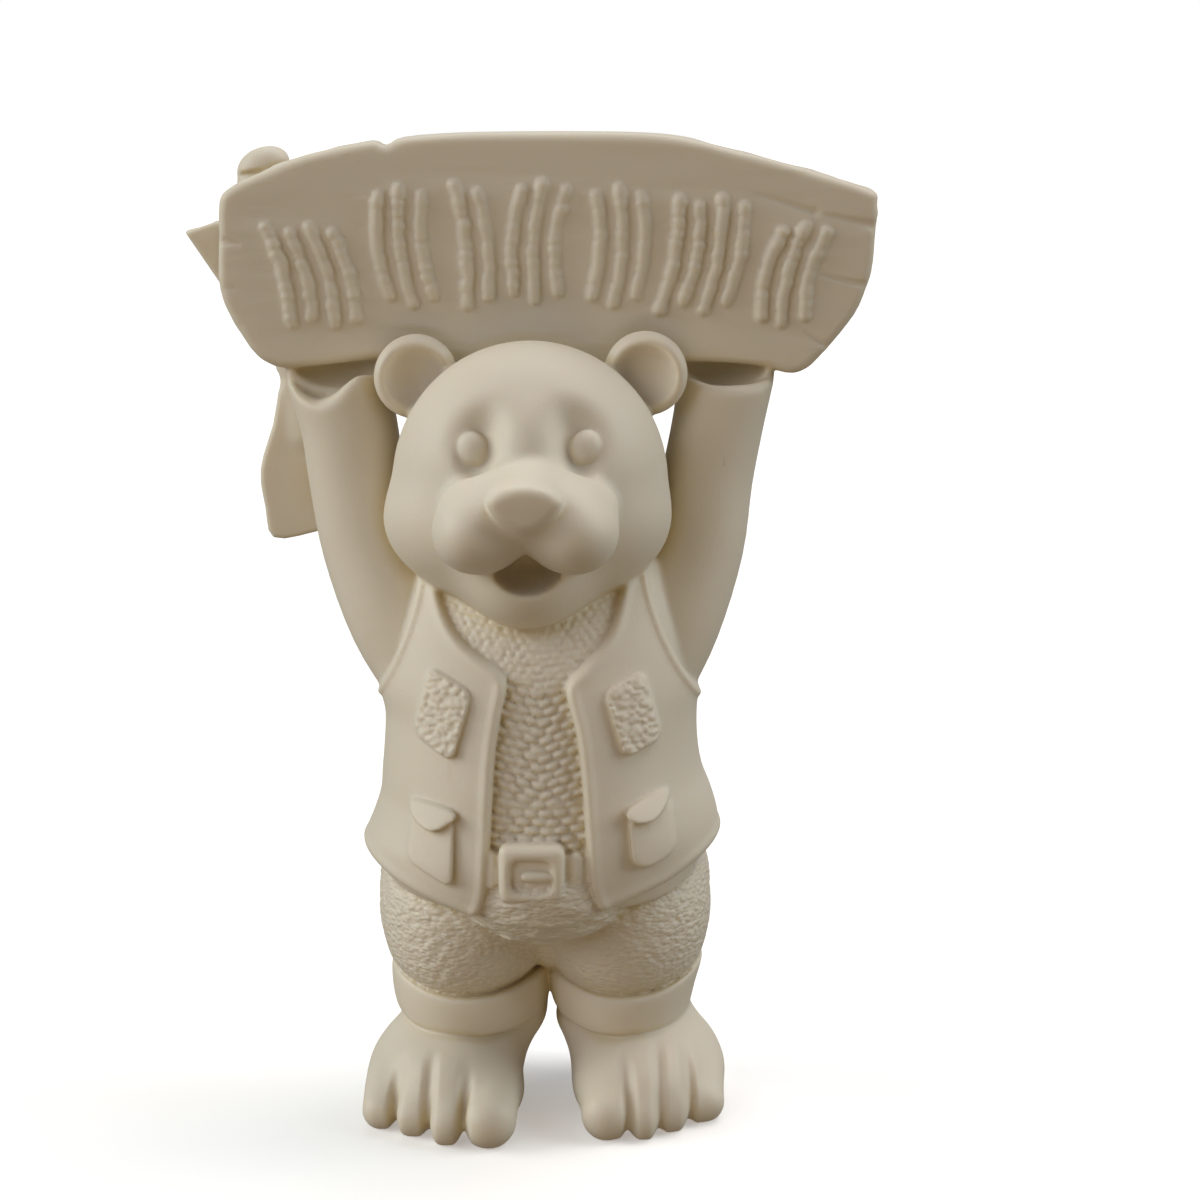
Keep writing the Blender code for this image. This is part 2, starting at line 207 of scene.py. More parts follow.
def pebbles(seed: int, across: Array, up: Array, wide: float, tall: float, stray: float) -> Array:
    """Rounded lumps in staggered rows, each a little out of place.

    Args:
        seed: Which lumps.
        across: Places along the rows.
        up: Places across the rows.
        wide: Distance between lumps in a row.
        tall: Distance between rows.
        stray: How far a lump may be out of place, as a share of its room.

    Returns:
        Heights between 0 and 1.
    """
    table = noise_table(seed)
    size = table.shape[0]
    nearest = np.full(np.shape(across), 4.0, np.float32)
    here = np.floor(up / tall).astype(np.int32)
    for row in (here - 1, here, here + 1):
        along = across / wide - 0.5 * (row % 2)
        middle = np.floor(along).astype(np.int32)
        for column in (middle - 1, middle, middle + 1):
            off_x, off_z = (stray * table[row % size, column % size, k] for k in (0, 1))
            gap = (along - column - 0.5 - off_x) ** 2 + (up / tall - row - 0.5 - off_z) ** 2
            nearest = np.minimum(nearest, gap)
    return np.maximum(1.0 - 3.2 * nearest, 0.0) ** 0.7


def turned(turn: Vec) -> Array:
    """The matrix of a turn about X, then Y, then Z.

    Args:
        turn: The three angles, in degrees.

    Returns:
        The matrix.
    """
    matrix = np.eye(3)
    for axis, angle in enumerate(turn):
        c, s = math.cos(math.radians(angle)), math.sin(math.radians(angle))
        i, j = (axis + 1) % 3, (axis + 2) % 3
        step = np.eye(3)
        step[i, i] = step[j, j] = c
        step[i, j], step[j, i] = -s, s
        matrix = step @ matrix
    return matrix


def seen_from(centre: Vec, turn: Vec, spots: Spots) -> list[Array]:
    """Spots as a turned form sees them, from its own middle and along its own axes.

    Args:
        centre: The form's middle.
        turn: The form's turn, in degrees.
        spots: The spots.

    Returns:
        The spots in the form's own axes.
    """
    local = [value - middle for value, middle in zip(spots, centre)]
    if any(turn):
        back = turned(turn).T.astype(np.float32)
        local = [sum(share * value for share, value in zip(row, local)) for row in back]
    return local


# ---------------------------------------------------------------- forms


class Form(ABC):
    """A solid that knows how far any spot is from its skin."""

    @abstractmethod
    def reach(self) -> Box:
        """The lowest and highest corner that the form fits in."""

    @abstractmethod
    def distance(self, spots: Spots) -> Array:
        """Distance from each spot to the skin, negative inside."""


@dataclass(frozen=True)
class Ball(Form):
    """An ellipsoid, turned about its own middle."""

    centre: Vec
    radii: Vec
    turn: Vec = UNTURNED

    def reach(self) -> Box:
        """The lowest and highest corner that the ball fits in."""
        half = np.array(self.radii) if not any(self.turn) else np.full(3, max(self.radii))
        return np.array(self.centre) - half, np.array(self.centre) + half

    def distance(self, spots: Spots) -> Array:
        """Distance to the ball's skin.

        Args:
            spots: Where to measure.

        Returns:
            The distances, negative inside.
        """
        local = seen_from(self.centre, self.turn, spots)
        near = np.sqrt(sum((value / radius) ** 2 for value, radius in zip(local, self.radii)))
        steep = np.sqrt(sum((value / radius ** 2) ** 2 for value, radius in zip(local, self.radii)))
        return near * (near - 1.0) / np.maximum(steep, 1e-4)


@dataclass(frozen=True)
class Limb(Form):
    """A round limb through (x, y, z, radius) stations."""

    stations: Rows
    steps: int = 4

    def path(self) -> Array:
        """The stations along the limb's smooth spine."""
        return flowing(self.stations, self.steps)

    def reach(self) -> Box:
        """The lowest and highest corner that the limb fits in."""
        path = self.path()
        return (path[:, :3] - path[:, 3:]).min(0), (path[:, :3] + path[:, 3:]).max(0)

    def distance(self, spots: Spots) -> Array:
        """Distance to the limb's skin.

        Args:
            spots: Where to measure.

        Returns:
            The distances, negative inside.
        """
        best = np.full(spots[0].shape, FAR, np.float32)
        path = self.path().astype(np.float32)
        for start, end in zip(path, path[1:]):
            run = end - start
            away = [value - origin for value, origin in zip(spots, start)]
            length = max(float(run[:3] @ run[:3]), TINY)
            share = np.clip(sum(a * r for a, r in zip(away, run)) / length, 0.0, 1.0)
            square = sum((a - r * share) ** 2 for a, r in zip(away, run))
            best = np.minimum(best, np.sqrt(square) - (start[3] + run[3] * share))
        return best


@dataclass(frozen=True)
class Barrel(Form):
    """A stack of oval rings: height, half width, half depth, centre depth and shift across of each."""

    rings: Rows
    middle: float = 0.0
    inset: float = 0.0
    edge: float = 3.0

    def levels(self) -> Array:
        """The rings along the barrel's smooth wall."""
        return flowing(self.rings, 8)

    def reach(self) -> Box:
        """The box that the barrel fits in.

        Returns:
            Its lowest and highest corner.
        """
        levels = self.levels()
        wide, deep = levels[:, 1].max() + np.abs(levels[:, 4]).max(), levels[:, 2].max()
        low = (self.middle - wide, levels[:, 3].min() - deep, levels[0, 0])
        high = (self.middle + wide, levels[:, 3].max() + deep, levels[-1, 0])
        return np.array(low), np.array(high)

    def wall(self, spots: Spots) -> Array:
        """Distance to the barrel's side wall alone.

        Args:
            spots: Where to measure.

        Returns:
            The distances, negative inside.
        """
        x, y, z = spots
        levels = self.levels()
        wide, deep, back, shift = (np.interp(z, levels[:, 0], levels[:, k]).astype(np.float32)
                                   for k in (1, 2, 3, 4))
        wide, deep = wide - self.inset, deep - self.inset
        across, depth = (x - self.middle - shift) / wide, (y - back) / deep
        near = np.sqrt(across ** 2 + depth ** 2)
        steep = np.sqrt((across / wide) ** 2 + (depth / deep) ** 2)
        return near * (near - 1.0) / np.maximum(steep, 1e-3)

    def distance(self, spots: Spots) -> Array:
        """Distance from each spot to the barrel's skin, with its ends rounded by edge."""
        ends = np.maximum(self.rings[0][0] - spots[2], spots[2] - self.rings[-1][0])
        return overlap(self.wall(spots), ends, self.edge)


@dataclass(frozen=True)
class Slab(Form):
    """A box with rounded edges."""

    centre: Vec
    size: Vec
    edge: float = 1.0

    def reach(self) -> Box:
        """The lowest and highest corner that the slab fits in."""
        half = 0.5 * np.array(self.size)
        return np.array(self.centre) - half, np.array(self.centre) + half

    def distance(self, spots: Spots) -> Array:
        """Distance to the slab's skin.

        Args:
            spots: Where to measure.

        Returns:
            The distances, negative inside.
        """
        local = seen_from(self.centre, UNTURNED, spots)
        past = [np.abs(value) - 0.5 * size + self.edge for value, size in zip(local, self.size)]
        outside = np.sqrt(sum(np.maximum(value, 0.0) ** 2 for value in past))
        inside = np.minimum(np.maximum(np.maximum(past[0], past[1]), past[2]), 0.0)
        return outside + inside - self.edge


@dataclass(frozen=True)
class Outline:
    """A closed outline in the (x, z) plane.

    Its sides are straight with corners rounded by bend, or flow through the corners in steps.
    """

    corners: Rows
    steps: int = 1
    bend: float = 0.0

    def points(self) -> Array:
        """The outline, its corners rounded off or flowed through.

        Returns:
            x and z of its points, one a row.
        """
        if not self.bend:
            return flowing(self.corners, self.steps, closed=True)
        corners, points = np.array(self.corners), []
        for before, corner, after in zip(np.roll(corners, 1, 0), corners, np.roll(corners, -1, 0)):
            start, end = (corner + (other - corner) * min(self.bend / np.linalg.norm(other - corner), 0.45)
                          for other in (before, after))
            for share in (0.0, 0.25, 0.5, 0.75, 1.0):
                rest = 1 - share
                points.append(rest ** 2 * start + 2 * share * rest * corner + share ** 2 * end)
        return np.array(points)

    def distance(self, x: Array, z: Array) -> Array:
        """Distance to the outline.

        Args:
            x: Places across.
            z: Places up.

        Returns:
            The distances, negative inside.
        """
        best = np.full(x.shape, FAR * FAR, np.float32)
        inside = np.zeros(x.shape, bool)
        points = self.points().astype(np.float32)
        for (ax, az), (bx, bz) in zip(points, np.roll(points, -1, axis=0)):
            run_x, run_z = bx - ax, bz - az
            off_x, off_z = x - ax, z - az
            length = max(float(run_x ** 2 + run_z ** 2), TINY)
            share = np.clip((off_x * run_x + off_z * run_z) / length, 0.0, 1.0)
            best = np.minimum(best, (off_x - run_x * share) ** 2 + (off_z - run_z * share) ** 2)
            if abs(run_z) > TINY:
                inside ^= ((az > z) != (bz > z)) & (off_x < off_z * (run_x / run_z))
        return np.where(inside, -1.0, 1.0) * np.sqrt(best)


@dataclass(frozen=True)
class Plate(Form):
    """An outline with thickness along y, its rims rounded; fall tips its top backwards."""

    outline: Outline
    front: float
    back: float
    edge: float = 1.0
    fall: float = 0.0

    def reach(self) -> Box:
        """The box that the plate fits in.

        Returns:
            Its lowest and highest corner.
        """
        points = self.outline.points()
        low, high = points.min(0), points.max(0)
        lean = abs(self.fall) * (high[1] - low[1])
        return (np.array((low[0], self.front - lean, low[1])),
                np.array((high[0], self.back + lean, high[1])))

    def distance(self, spots: Spots) -> Array:
        """Distance to the plate's skin.

        Args:
            spots: Where to measure.

        Returns:
            The distances, negative inside.
        """
        x, y, z = spots
        if self.fall:
            low, high = self.outline.points()[:, 1].min(), self.outline.points()[:, 1].max()
            y = y - self.fall * (z - 0.5 * (low + high))
        face = np.abs(y - 0.5 * (self.front + self.back)) - 0.5 * (self.back - self.front)
        return rounded(self.outline.distance(x, z), face, self.edge)


@dataclass(frozen=True)
class Applied(Form):
    """Cloth laid on the front of a barrel inside an outline, and let into it by sunk.

    Its thickness runs from thick_top at the outline's top to thick_foot at its foot.
    """

    ground: Barrel
    outline: Outline
    thick_top: float
    thick_foot: float
    edge: float = 0.7
    sunk: float = 3.0
    hole: Outline | None = None

    def reach(self) -> Box:
        """The box that the cloth fits in.

        Returns:
            Its lowest and highest corner.
        """
        points = self.outline.points()
        ground_low, ground_high = self.ground.reach()
        low, high = points.min(0), points.max(0)
        thick = max(self.thick_top, self.thick_foot)
        return (np.array((low[0], ground_low[1] - thick, low[1])),
                np.array((high[0], 0.5 * (ground_low[1] + ground_high[1]), high[1])))

    def distance(self, spots: Spots) -> Array:
        """Distance to the cloth's skin.

        Args:
            spots: Where to measure.

        Returns:
            The distances, negative inside.
        """
        x, _, z = spots
        points = self.outline.points()
        low, high = points[:, 1].min(), points[:, 1].max()
        share = np.clip((z - low) / (high - low), 0.0, 1.0)
        thick = self.thick_foot + (self.thick_top - self.thick_foot) * share
        rim = self.outline.distance(x, z)
        if self.hole is not None:
            rim = np.maximum(rim, -self.hole.distance(x, z))
        wall = self.ground.wall(spots)
        return rounded(rim, np.maximum(wall - thick, -wall - self.sunk), self.edge)


class Clay:
    """A cloud of spots, lowest first, with each one's distance to the forms added so far.

    The distances have to be right as far as margin from the skin, and room is the width of the
    widest fillet that the forms here are given.
    """

    def __init__(self, spots: Spots, margin: float, room: float = 1.0) -> None:
        """Starts with nothing added."""
        self.spots, self.margin, self.room = spots, margin, room
        self.gap = np.full(spots[0].shape, FAR, np.float32)

    def blank(self, room: float = 1.0) -> "Clay":
        """The same spots with nothing added, and room for fillets of some width."""
        return Clay(self.spots, self.margin, room)

    def near(self, reach: Box) -> Array:
        """Which spots lie in a box or close to it.

        Args:
            reach: The box's lowest and highest corner.

        Returns:
            The spots' numbers.
        """
        pad = self.margin + self.room
        low, high = np.asarray(reach[0]) - pad, np.asarray(reach[1]) + pad
        first, last = np.searchsorted(self.spots[2], (low[2], high[2]))
        x, y = (values[first:last] for values in self.spots[:2])
        return np.flatnonzero((x > low[0]) & (x < high[0]) & (y > low[1]) & (y < high[1])) + first

    def at(self, chosen: Array | slice) -> Spots:
        """The chosen spots."""
        return tuple(values[chosen] for values in self.spots)

    def add(self, form: Form, blend: float = 0.0, relief: Relief | None = None) -> "Clay":
        """Melts a form into what is there.

        Args:
            form: The form to add.
            blend: Width of the fillet.
            relief: Height by which the form's own skin is raised at each spot.

        Returns:
            This clay.
        """
        chosen = self.near(form.reach())
        if chosen.size:
            gap = form.distance(self.at(chosen))
            if relief is not None:
                gap = gap - relief(self.at(chosen))
            self.gap[chosen] = melt(self.gap[chosen], gap, blend)
        return self

    def cut(self, form: Form, blend: float = 0.0) -> "Clay":
        """Cuts a form out of what is there.

        Args:
            form: The tool.
            blend: Width of the rounding along the cut.

        Returns:
            This clay.
        """
        chosen = self.near(form.reach())
        if chosen.size:
            self.gap[chosen] = carve(self.gap[chosen], form.distance(self.at(chosen)), blend)
        return self

    def raise_skin(self, relief: Relief, reach: Box | None = None) -> "Clay":
        """Lifts the skin by a height that varies from spot to spot.

        Args:
            relief: The height at each spot.
            reach: The box to stay in, or None for all of it.

        Returns:
            This clay.
        """
        chosen = slice(None) if reach is None else self.near(reach)
        self.gap[chosen] -= relief(self.at(chosen))
        return self

    def join(self, other: "Clay", blend: float = 0.0) -> "Clay":
        """Melts another clay over the same spots into this one."""
        self.gap = melt(self.gap, other.gap, blend)
        return self


# ---------------------------------------------------------------- sub-assemblies


@dataclass(frozen=True)
class Foot:
    """One bare foot's own sizes; spreads count outwards from between the feet.

    A toe is its spread, how far forward it reaches and its radius, and the big toe comes first.
    A groove between toes is the spreads at which it starts and ends, and the ankle is a barrel.
    """

    toes: Rows
    grooves: Rows
    groove_start: float
    ankle: Rows


@dataclass
class Feet:
    """Two bare feet, each with four plump toes."""

    middle: float = 1.7
    right: Foot = Foot(
        ((14.2, -40.6, 7.0), (24.8, -39.2, 5.5), (33.8, -33.4, 5.3), (42.0, -28.8, 5.0)),
        ((19.8, 20.4), (28.7, 29.4), (37.0, 38.3)), -29.0,
        ((-3.0, 18.0, 17.0, -2.0, -25.5), (1.5, 18.2, 18.0, -2.0, -25.5), (6.0, 19.1, 18.6, -2.4, -25.3),
         (10.5, 19.7, 18.8, -3.0, -24.1), (15.0, 19.6, 18.4, -3.0, -21.2), (19.5, 19.0, 17.4, -2.4, -17.9),
         (24.0, 18.2, 16.4, -2.0, -16.4), (28.5, 17.4, 16.0, -2.0, -16.4)))
    left: Foot = Foot(
        ((15.7, -35.6, 6.5), (25.0, -35.4, 5.2), (32.8, -29.4, 5.1), (40.8, -23.8, 5.2)),
        ((19.9, 21.0), (28.6, 28.9), (35.8, 36.6)), -25.0,
        ((-3.0, 17.5, 17.0, -2.0, 28.2), (1.5, 17.6, 18.0, -2.0, 28.4), (6.0, 18.3, 18.6, -2.4, 28.5),
         (10.5, 19.2, 18.8, -3.0, 27.9), (15.0, 19.5, 18.4, -3.0, 25.6), (19.5, 18.7, 17.4, -2.4, 22.8),
         (24.0, 17.4, 16.4, -2.0, 21.9), (28.5, 16.8, 16.0, -2.0, 21.9)))
    groove_length: float = 10.0
    groove_width: float = 2.7
    groove_depth: float = 1.6
    instep_spread: float = 25.4
    instep: Vec = (18.4, 26.4, 15.2)
    # Knuckles of a toe, back to front: how far inwards, behind its tip, height and added radius.
    knuckles: Rows = ((0.8, 24.0, 4.0, 0.0), (0.3, 11.0, 7.4, 0.2))

    def grooves(self, side: Side, foot: Foot, spots: Spots) -> Array:
        """The grooves between a foot's toes.

        Args:
            side: The foot's side.
            foot: The foot.
            spots: Where to measure.

        Returns:
            The skin's height at each spot, negative along each groove.
        """
        x, y, _ = spots
        height = np.zeros(x.shape, np.float32)
        for head, tip in foot.grooves:
            along = (foot.groove_start + 0.4 * (head - 20.0) - y) / self.groove_length
            offset = side.value * (x - self.middle) - (head + (tip - head) * along)
            height -= self.groove_depth * ease(0.0, 0.9, along) * bell(offset, self.groove_width)
        return height

    def shape(self, clay: Clay) -> Clay:
        """Both feet, standing a little into the ground so that the cut leaves flat soles.

        Args:
            clay: Gives the spots.

        Returns:
            The feet on their own.
        """
        whole = clay.blank()
        for side, foot in zip(Side, (self.right, self.left)):
            out, own = side.value, clay.blank(8.0).add(Barrel(foot.ankle, edge=4.0))
            own.add(Ball((self.middle + out * self.instep_spread, -12.0, 8.2), self.instep,
                         (0.0, out * 5.0, out * -7.0)), 6.0)
            for spread, forward, radius in foot.toes:
                bones = [(self.middle + out * (spread - inwards), forward + behind, height, radius + added)
                         for inwards, behind, height, added in self.knuckles]
                tip = (self.middle + out * spread, forward, radius - 0.9, radius)
                own.add(Limb((*bones, tip)), 4.2)
            own.raise_skin(functools.partial(self.grooves, side, foot))
            whole.join(own)
        return whole


@dataclass(frozen=True)
class Cuff(Form):
    """A turned-up trouser cuff whose edges climb a little towards its sides."""

    band: Barrel
    climb: float = 4.2
    foot_climb: float = 1.6

    def reach(self) -> Box:
        """The lowest and highest corner that the cuff fits in."""
        low, high = self.band.reach()
        return low, high + np.array((0.0, 0.0, self.climb))

    def distance(self, spots: Spots) -> Array:
        """Distance to the cuff's skin.

        Args:
            spots: Where to measure.

        Returns:
            The distances, negative inside.
        """
        x, y, z = spots
        share = (x - self.band.rings[1][4]) / self.band.rings[1][1]
        top = ease(self.band.rings[0][0], self.band.rings[-1][0], z)
        lift = share ** 2 * (self.foot_climb + (self.climb - self.foot_climb) * top)
        return self.band.distance((x, y, z - lift))


@dataclass
class Trousers:
    """Plump woollen trousers with smooth turned-up cuffs."""

    middle: float = 1.3
    leg_spread: float = 20.3
    leg: Rows = (
        (27.0, 14.5, 18.0, -1.6, 0.0), (33.0, 16.6, 21.6, -1.8, 0.0), (39.0, 20.4, 26.6, -2.0, 0.0),
        (45.0, 22.1, 28.8, -2.0, 0.0), (51.0, 22.8, 29.4, -2.0, 0.0), (57.0, 22.4, 29.0, -2.0, 0.0),
        (63.0, 21.0, 26.6, -2.0, 0.0))
    cuffs: tuple[Rows, Rows] = (
        ((21.4, 19.4, 22.6, -1.0, -18.2), (25.2, 20.8, 24.2, -1.0, -18.1),
         (29.0, 21.2, 25.0, -1.0, -18.0), (32.8, 20.9, 25.0, -1.0, -18.0)),
        ((21.6, 17.6, 22.6, -1.0, 21.5), (25.4, 19.2, 24.2, -1.0, 21.3),
         (29.2, 20.4, 25.0, -1.0, 21.5), (33.0, 20.6, 25.0, -1.0, 22.3)))
    seat: Vec = (41.8, 31.0, 21.0)
    crotch: Vec = (7.0, 17.0, 12.0)
    curl_width: float = 2.0
    curl_height: float = 1.4
    wool_height: float = 0.42
    fold_height: float = 1.1

    def wool(self, spots: Spots) -> Array:
        """Small irregular bumps, fading out at the fly and inside the thighs.

        Args:
            spots: Where to measure.

        Returns:
            The skin's height at each spot.
        """
        x, y, z = spots
        off_middle = np.abs(x - self.middle)
        wander = 0.8 * noise(11, spots, (4.0, 4.0, 4.0))
        bearing = np.arctan2(y, off_middle - 18.0)
        bumps = pebbles(12, 23.0 * bearing + wander, z + 0.2 * off_middle + wander,
                        self.curl_width, self.curl_height, 0.45)
        patchy = 0.8 + 0.5 * noise(13, spots, (7.0, 7.0, 7.0))
        fly = np.hypot(x - self.middle, 0.7 * (z - 40.0))
        off_fly = ease(6.0, 20.0 - 4.0 * np.sign(self.middle - x), fly)
        return self.wool_height * bumps * patchy * (1.0 - ease(0.0, -12.0, y) * (1.0 - off_fly))

    def folds(self, spots: Spots) -> Array:
        """A fold of cloth that swings from the fly across the right leg.

        Args:
            spots: Where to measure.

        Returns:
            The skin's height at each spot.
        """
        x, y, z = spots
        low = 48.6 + 0.045 * (x + 8.0) ** 2
        height = self.fold_height * ease(-0.8, 0.7, z - low)
        return height * ease(-27.0, -19.0, x) * ease(5.0, -5.0, x) * ease(-15.0, -22.0, y)

    def legs(self, clay: Clay) -> Clay:
        """Legs and seat.

        Args:
            clay: Gives the spots.

        Returns:
            The legs and seat on their own.
        """
        legs = clay.blank(6.0)
        for side in Side:
            legs.add(Barrel(self.leg, self.middle + side.value * self.leg_spread, edge=4.0), 1.2)
        legs.add(Ball((self.middle, 0.0, 62.5), self.seat), 4.0)
        legs.add(Ball((self.middle + 0.8, -1.0, 46.0), self.crotch), 2.0)
        return legs.raise_skin(self.wool).raise_skin(self.folds)

    def shape(self, clay: Clay) -> Clay:
        """Legs, seat and cuffs.

        Args:
            clay: Gives the spots.

        Returns:
            The trousers on their own.
        """
        cuffs = clay.blank(2.0)
        for rings in self.cuffs:
            cuffs.add(Cuff(Barrel(rings, edge=1.8)), 0.5)
        return self.legs(clay).join(cuffs, 0.4)


@dataclass
class Torso:
    """The shirt, the vest over it with its pockets, and the belt."""

    middle: float = 0.4
    rings: Rows = (
        (54.0, 41.0, 37.0, -6.0, 0.4), (60.0, 42.0, 39.0, -6.1, 0.4), (66.0, 44.6, 40.8, -6.3, -0.3),
        (72.0, 45.6, 41.3, -6.4, 0.3), (78.0, 44.3, 40.9, -6.5, 1.2), (84.0, 42.5, 40.2, -6.4, 1.3),
        (90.0, 41.1, 39.5, -6.3, 0.4), (97.0, 40.2, 38.3, -6.0, 0.1), (105.0, 40.0, 36.9, -5.5, 0.1),
        (113.0, 41.3, 35.0, -4.9, -0.4), (121.0, 40.6, 32.6, -4.2, -0.4), (129.0, 39.2, 29.4, -3.2, -0.3),
        (137.0, 37.0, 25.4, -1.8, -0.1), (145.0, 34.0, 21.0, -0.5, 0.0))
    hem_line: Rows = (
        (-90.0, 88.0), (-45.0, 69.6), (-39.1, 67.2), (-34.8, 65.5), (-24.7, 62.0), (-14.9, 59.8),
        (0.0, 59.0), (15.9, 61.4), (25.5, 64.6), (33.4, 66.9), (40.4, 70.0), (46.0, 72.4), (90.0, 90.0),
        (90.0, 30.0), (-90.0, 30.0))
    shirt_depth: float = 3.4
    left_edge: Rows = (
        (-17.0, 54.0), (-14.2, 60.4), (-12.2, 66.0), (-11.2, 80.6), (-10.2, 99.4), (-8.6, 110.6),
        (-7.3, 116.9), (-8.2, 120.6), (-13.7, 124.3), (-20.1, 129.5), (-24.3, 138.0), (-27.0, 156.0))
    right_edge: Rows = (
        (24.0, 156.0), (20.6, 138.6), (17.6, 129.4), (12.1, 123.1), (8.0, 119.2), (7.3, 115.4),
        (9.8, 106.0), (11.2, 93.8), (12.1, 80.6), (13.2, 67.7), (15.6, 61.4), (19.0, 54.0))
    armholes: Rows = ((-49.4, 20.0), (50.8, 24.3))      # middle and half width of each
    armhole_z: float = 145.0
    armhole_half: float = 37.6
    belly_ball: Vec = (25.0, 29.5, 17.6)
    patches: tuple[Rows, Rows] = (((-26.9, 121.4), (-15.6, 116.4), (-20.6, 99.0), (-31.0, 104.4)),
                                  ((26.6, 120.4), (31.4, 103.4), (21.6, 100.0), (16.5, 116.6)))
    bags: tuple[Rows, Rows] = (((-31.4, 85.0), (-20.0, 86.0), (-20.7, 68.4), (-32.9, 73.6)),
                               ((22.6, 86.0), (33.6, 88.4), (34.7, 75.6), (27.4, 72.7), (23.6, 74.4)))
    flaps: tuple[Rows, Rows] = (
        ((-31.6, 87.8), (-27.7, 88.6), (-21.0, 87.7), (-19.9, 85.7), (-25.8, 82.2), (-30.9, 84.2)),
        ((22.3, 87.8), (27.4, 90.0), (32.2, 90.6), (32.5, 88.0), (28.8, 84.8), (23.6, 85.2)))
    # Belt, two loops, buckle, its plate and its prong: left, foot, right, top, thickness, edge, fillet.
    straps: Rows = (
        (-18.0, 69.0, 20.0, 77.4, 2.2, 0.9, 0.4), (-12.7, 68.4, -9.7, 78.0, 3.0, 1.2, 0.8),
        (8.5, 68.4, 11.5, 78.0, 3.0, 1.2, 0.8), (-9.2, 65.4, 7.0, 80.2, 5.2, 2.0, 0.5),
        (-6.6, 68.0, 4.2, 77.2, 3.1, 0.8, 0.8), (-3.8, 71.2, 4.2, 74.0, 4.9, 1.3, 0.6))
    buckle: int = 3                                     # which strap the buckle is
    buckle_hole: tuple[float, ...] = (-6.0, 68.8, 3.6, 76.4)

    def cloth(self) -> Barrel:
        """The vest's outer surface, before it is cut open."""
        height, wide, deep, *place = self.rings[-1]
        return Barrel((*self.rings, (height + 6.0, wide - 7.0, deep - 7.0, *place)), self.middle)

    def under(self) -> Barrel:
        """The shirt's surface, a little inside the vest's."""
        return Barrel(self.rings[1:], self.middle, self.shirt_depth)

    def opening(self) -> Outline:
        """The vest's front opening."""
        return Outline(flowing(self.left_edge, 4).tolist() + flowing(self.right_edge, 4).tolist())

    def knit(self, spots: Spots) -> Array:
        """The shirt's stitches in front, with a finer undershirt in the neck.

        Args:
            spots: Where to measure.

        Returns:
            The skin's height at each spot.
        """
        x, y, z = spots
        across, out = (x - self.middle) * 1.04, np.abs(x - 1.2)
        low_rows = pebbles(21, across, z - 0.008 * out ** 2, 3.9, 2.15, 0.14)
        high_rows = pebbles(22, across, z - 0.30 * out, 3.7, 2.15, 0.14)
        share = ease(86.0, 92.0, z)
        coarse = 1.25 * (low_rows * (1.0 - share) + high_rows * share)
        apex = 114.6 + 0.5 * np.minimum(np.abs(x - 2.0), 7.0)
        under = ease(-0.5, 1.5, z - apex)
        fine = 0.9 + 0.55 * pebbles(23, across, z - 0.12 * out, 2.3, 1.6, 0.18)
        shown = ease(66.0, 69.0, z) * ease(31.0, 27.0, out) * ease(-8.0, -20.0, y)
        return shown * (coarse * (1.0 - under) + fine * under - 0.5)

    def hem(self, spots: Spots) -> Array:
        """A rolled band along the front edges and the foot of the vest.

        Args:
            spots: Where to measure.

        Returns:
            The skin's height at each spot.
        """
        x, y, z = spots
        band = 0.7 * bell(self.opening().distance(x, z) - 1.6, 2.4) * ease(-10.0, -18.0, y)
        return band + 0.5 * bell(Outline(self.hem_line).distance(x, z) - 1.8, 2.6)

    def armhole_rim(self, hole: Ball, spots: Spots) -> Array:
        """A thin raised rim round an armhole."""
        return 0.7 * bell(hole.distance(spots) - 1.4, 1.8)

    def vest(self, clay: Clay) -> Clay:
        """The vest's shell with its hems.

        Args:
            clay: Gives the spots.

        Returns:
            The vest on its own.
        """
        shell = clay.blank(4.0).add(self.cloth())
        shell.raise_skin(self.hem, self.cloth().reach())
        shell.cut(Plate(Outline(self.hem_line), -90.0, 60.0, 0.0), 2.0)
        shell.cut(Plate(self.opening(), -72.0, -10.0, 0.0), 3.2)
        for middle, half in self.armholes:
            hole = Ball((middle, 0.0, self.armhole_z), (half, 46.0, self.armhole_half))
            low, high = hole.reach()
            shell.raise_skin(functools.partial(self.armhole_rim, hole), (low - 4.0, high + 4.0))
            shell.cut(hole, 2.0)
        return shell

    def pockets(self, clay: Clay) -> None:
        """Woolly chest patches, and lower pockets under jutting flaps.

        Args:
            clay: The vest, on which they are laid.
        """
        cloth = self.cloth()
        for corners in self.bags:
            clay.add(Applied(cloth, Outline(corners, bend=3.0), 1.4, 2.6, 1.1), 0.8)
        for corners in self.flaps:
            clay.add(Applied(cloth, Outline(corners, 3), 1.2, 4.4, 1.0), 0.6)
        for corners in self.patches:
            patch = Outline(corners, bend=3.2)
            clay.add(Applied(cloth, patch, 1.2, 1.6, 0.8), 0.7, functools.partial(self.wool, patch))

    def wool(self, patch: Outline, spots: Spots) -> Array:
        """The loose curls of a woolly patch, dying out at its rim.

        Args:
            patch: The patch's outline.
            spots: Where to measure.

        Returns:
            The skin's height at each spot.
        """
        x, _, z = spots
        drift = 0.8 * noise(31, spots, (4.0, 4.0, 4.0))
        curls = pebbles(32, x + drift + 0.1 * z, z + drift, 2.0, 1.4, 0.4)
        return 0.6 * curls * ease(0.3, -0.9, patch.distance(x, z))

    def bar(self, left: float, foot: float, right: float, top: float) -> Outline:
        """An upright rectangle with soft corners."""
        return Outline(((left, foot), (right, foot), (right, top), (left, top)), bend=2.4)

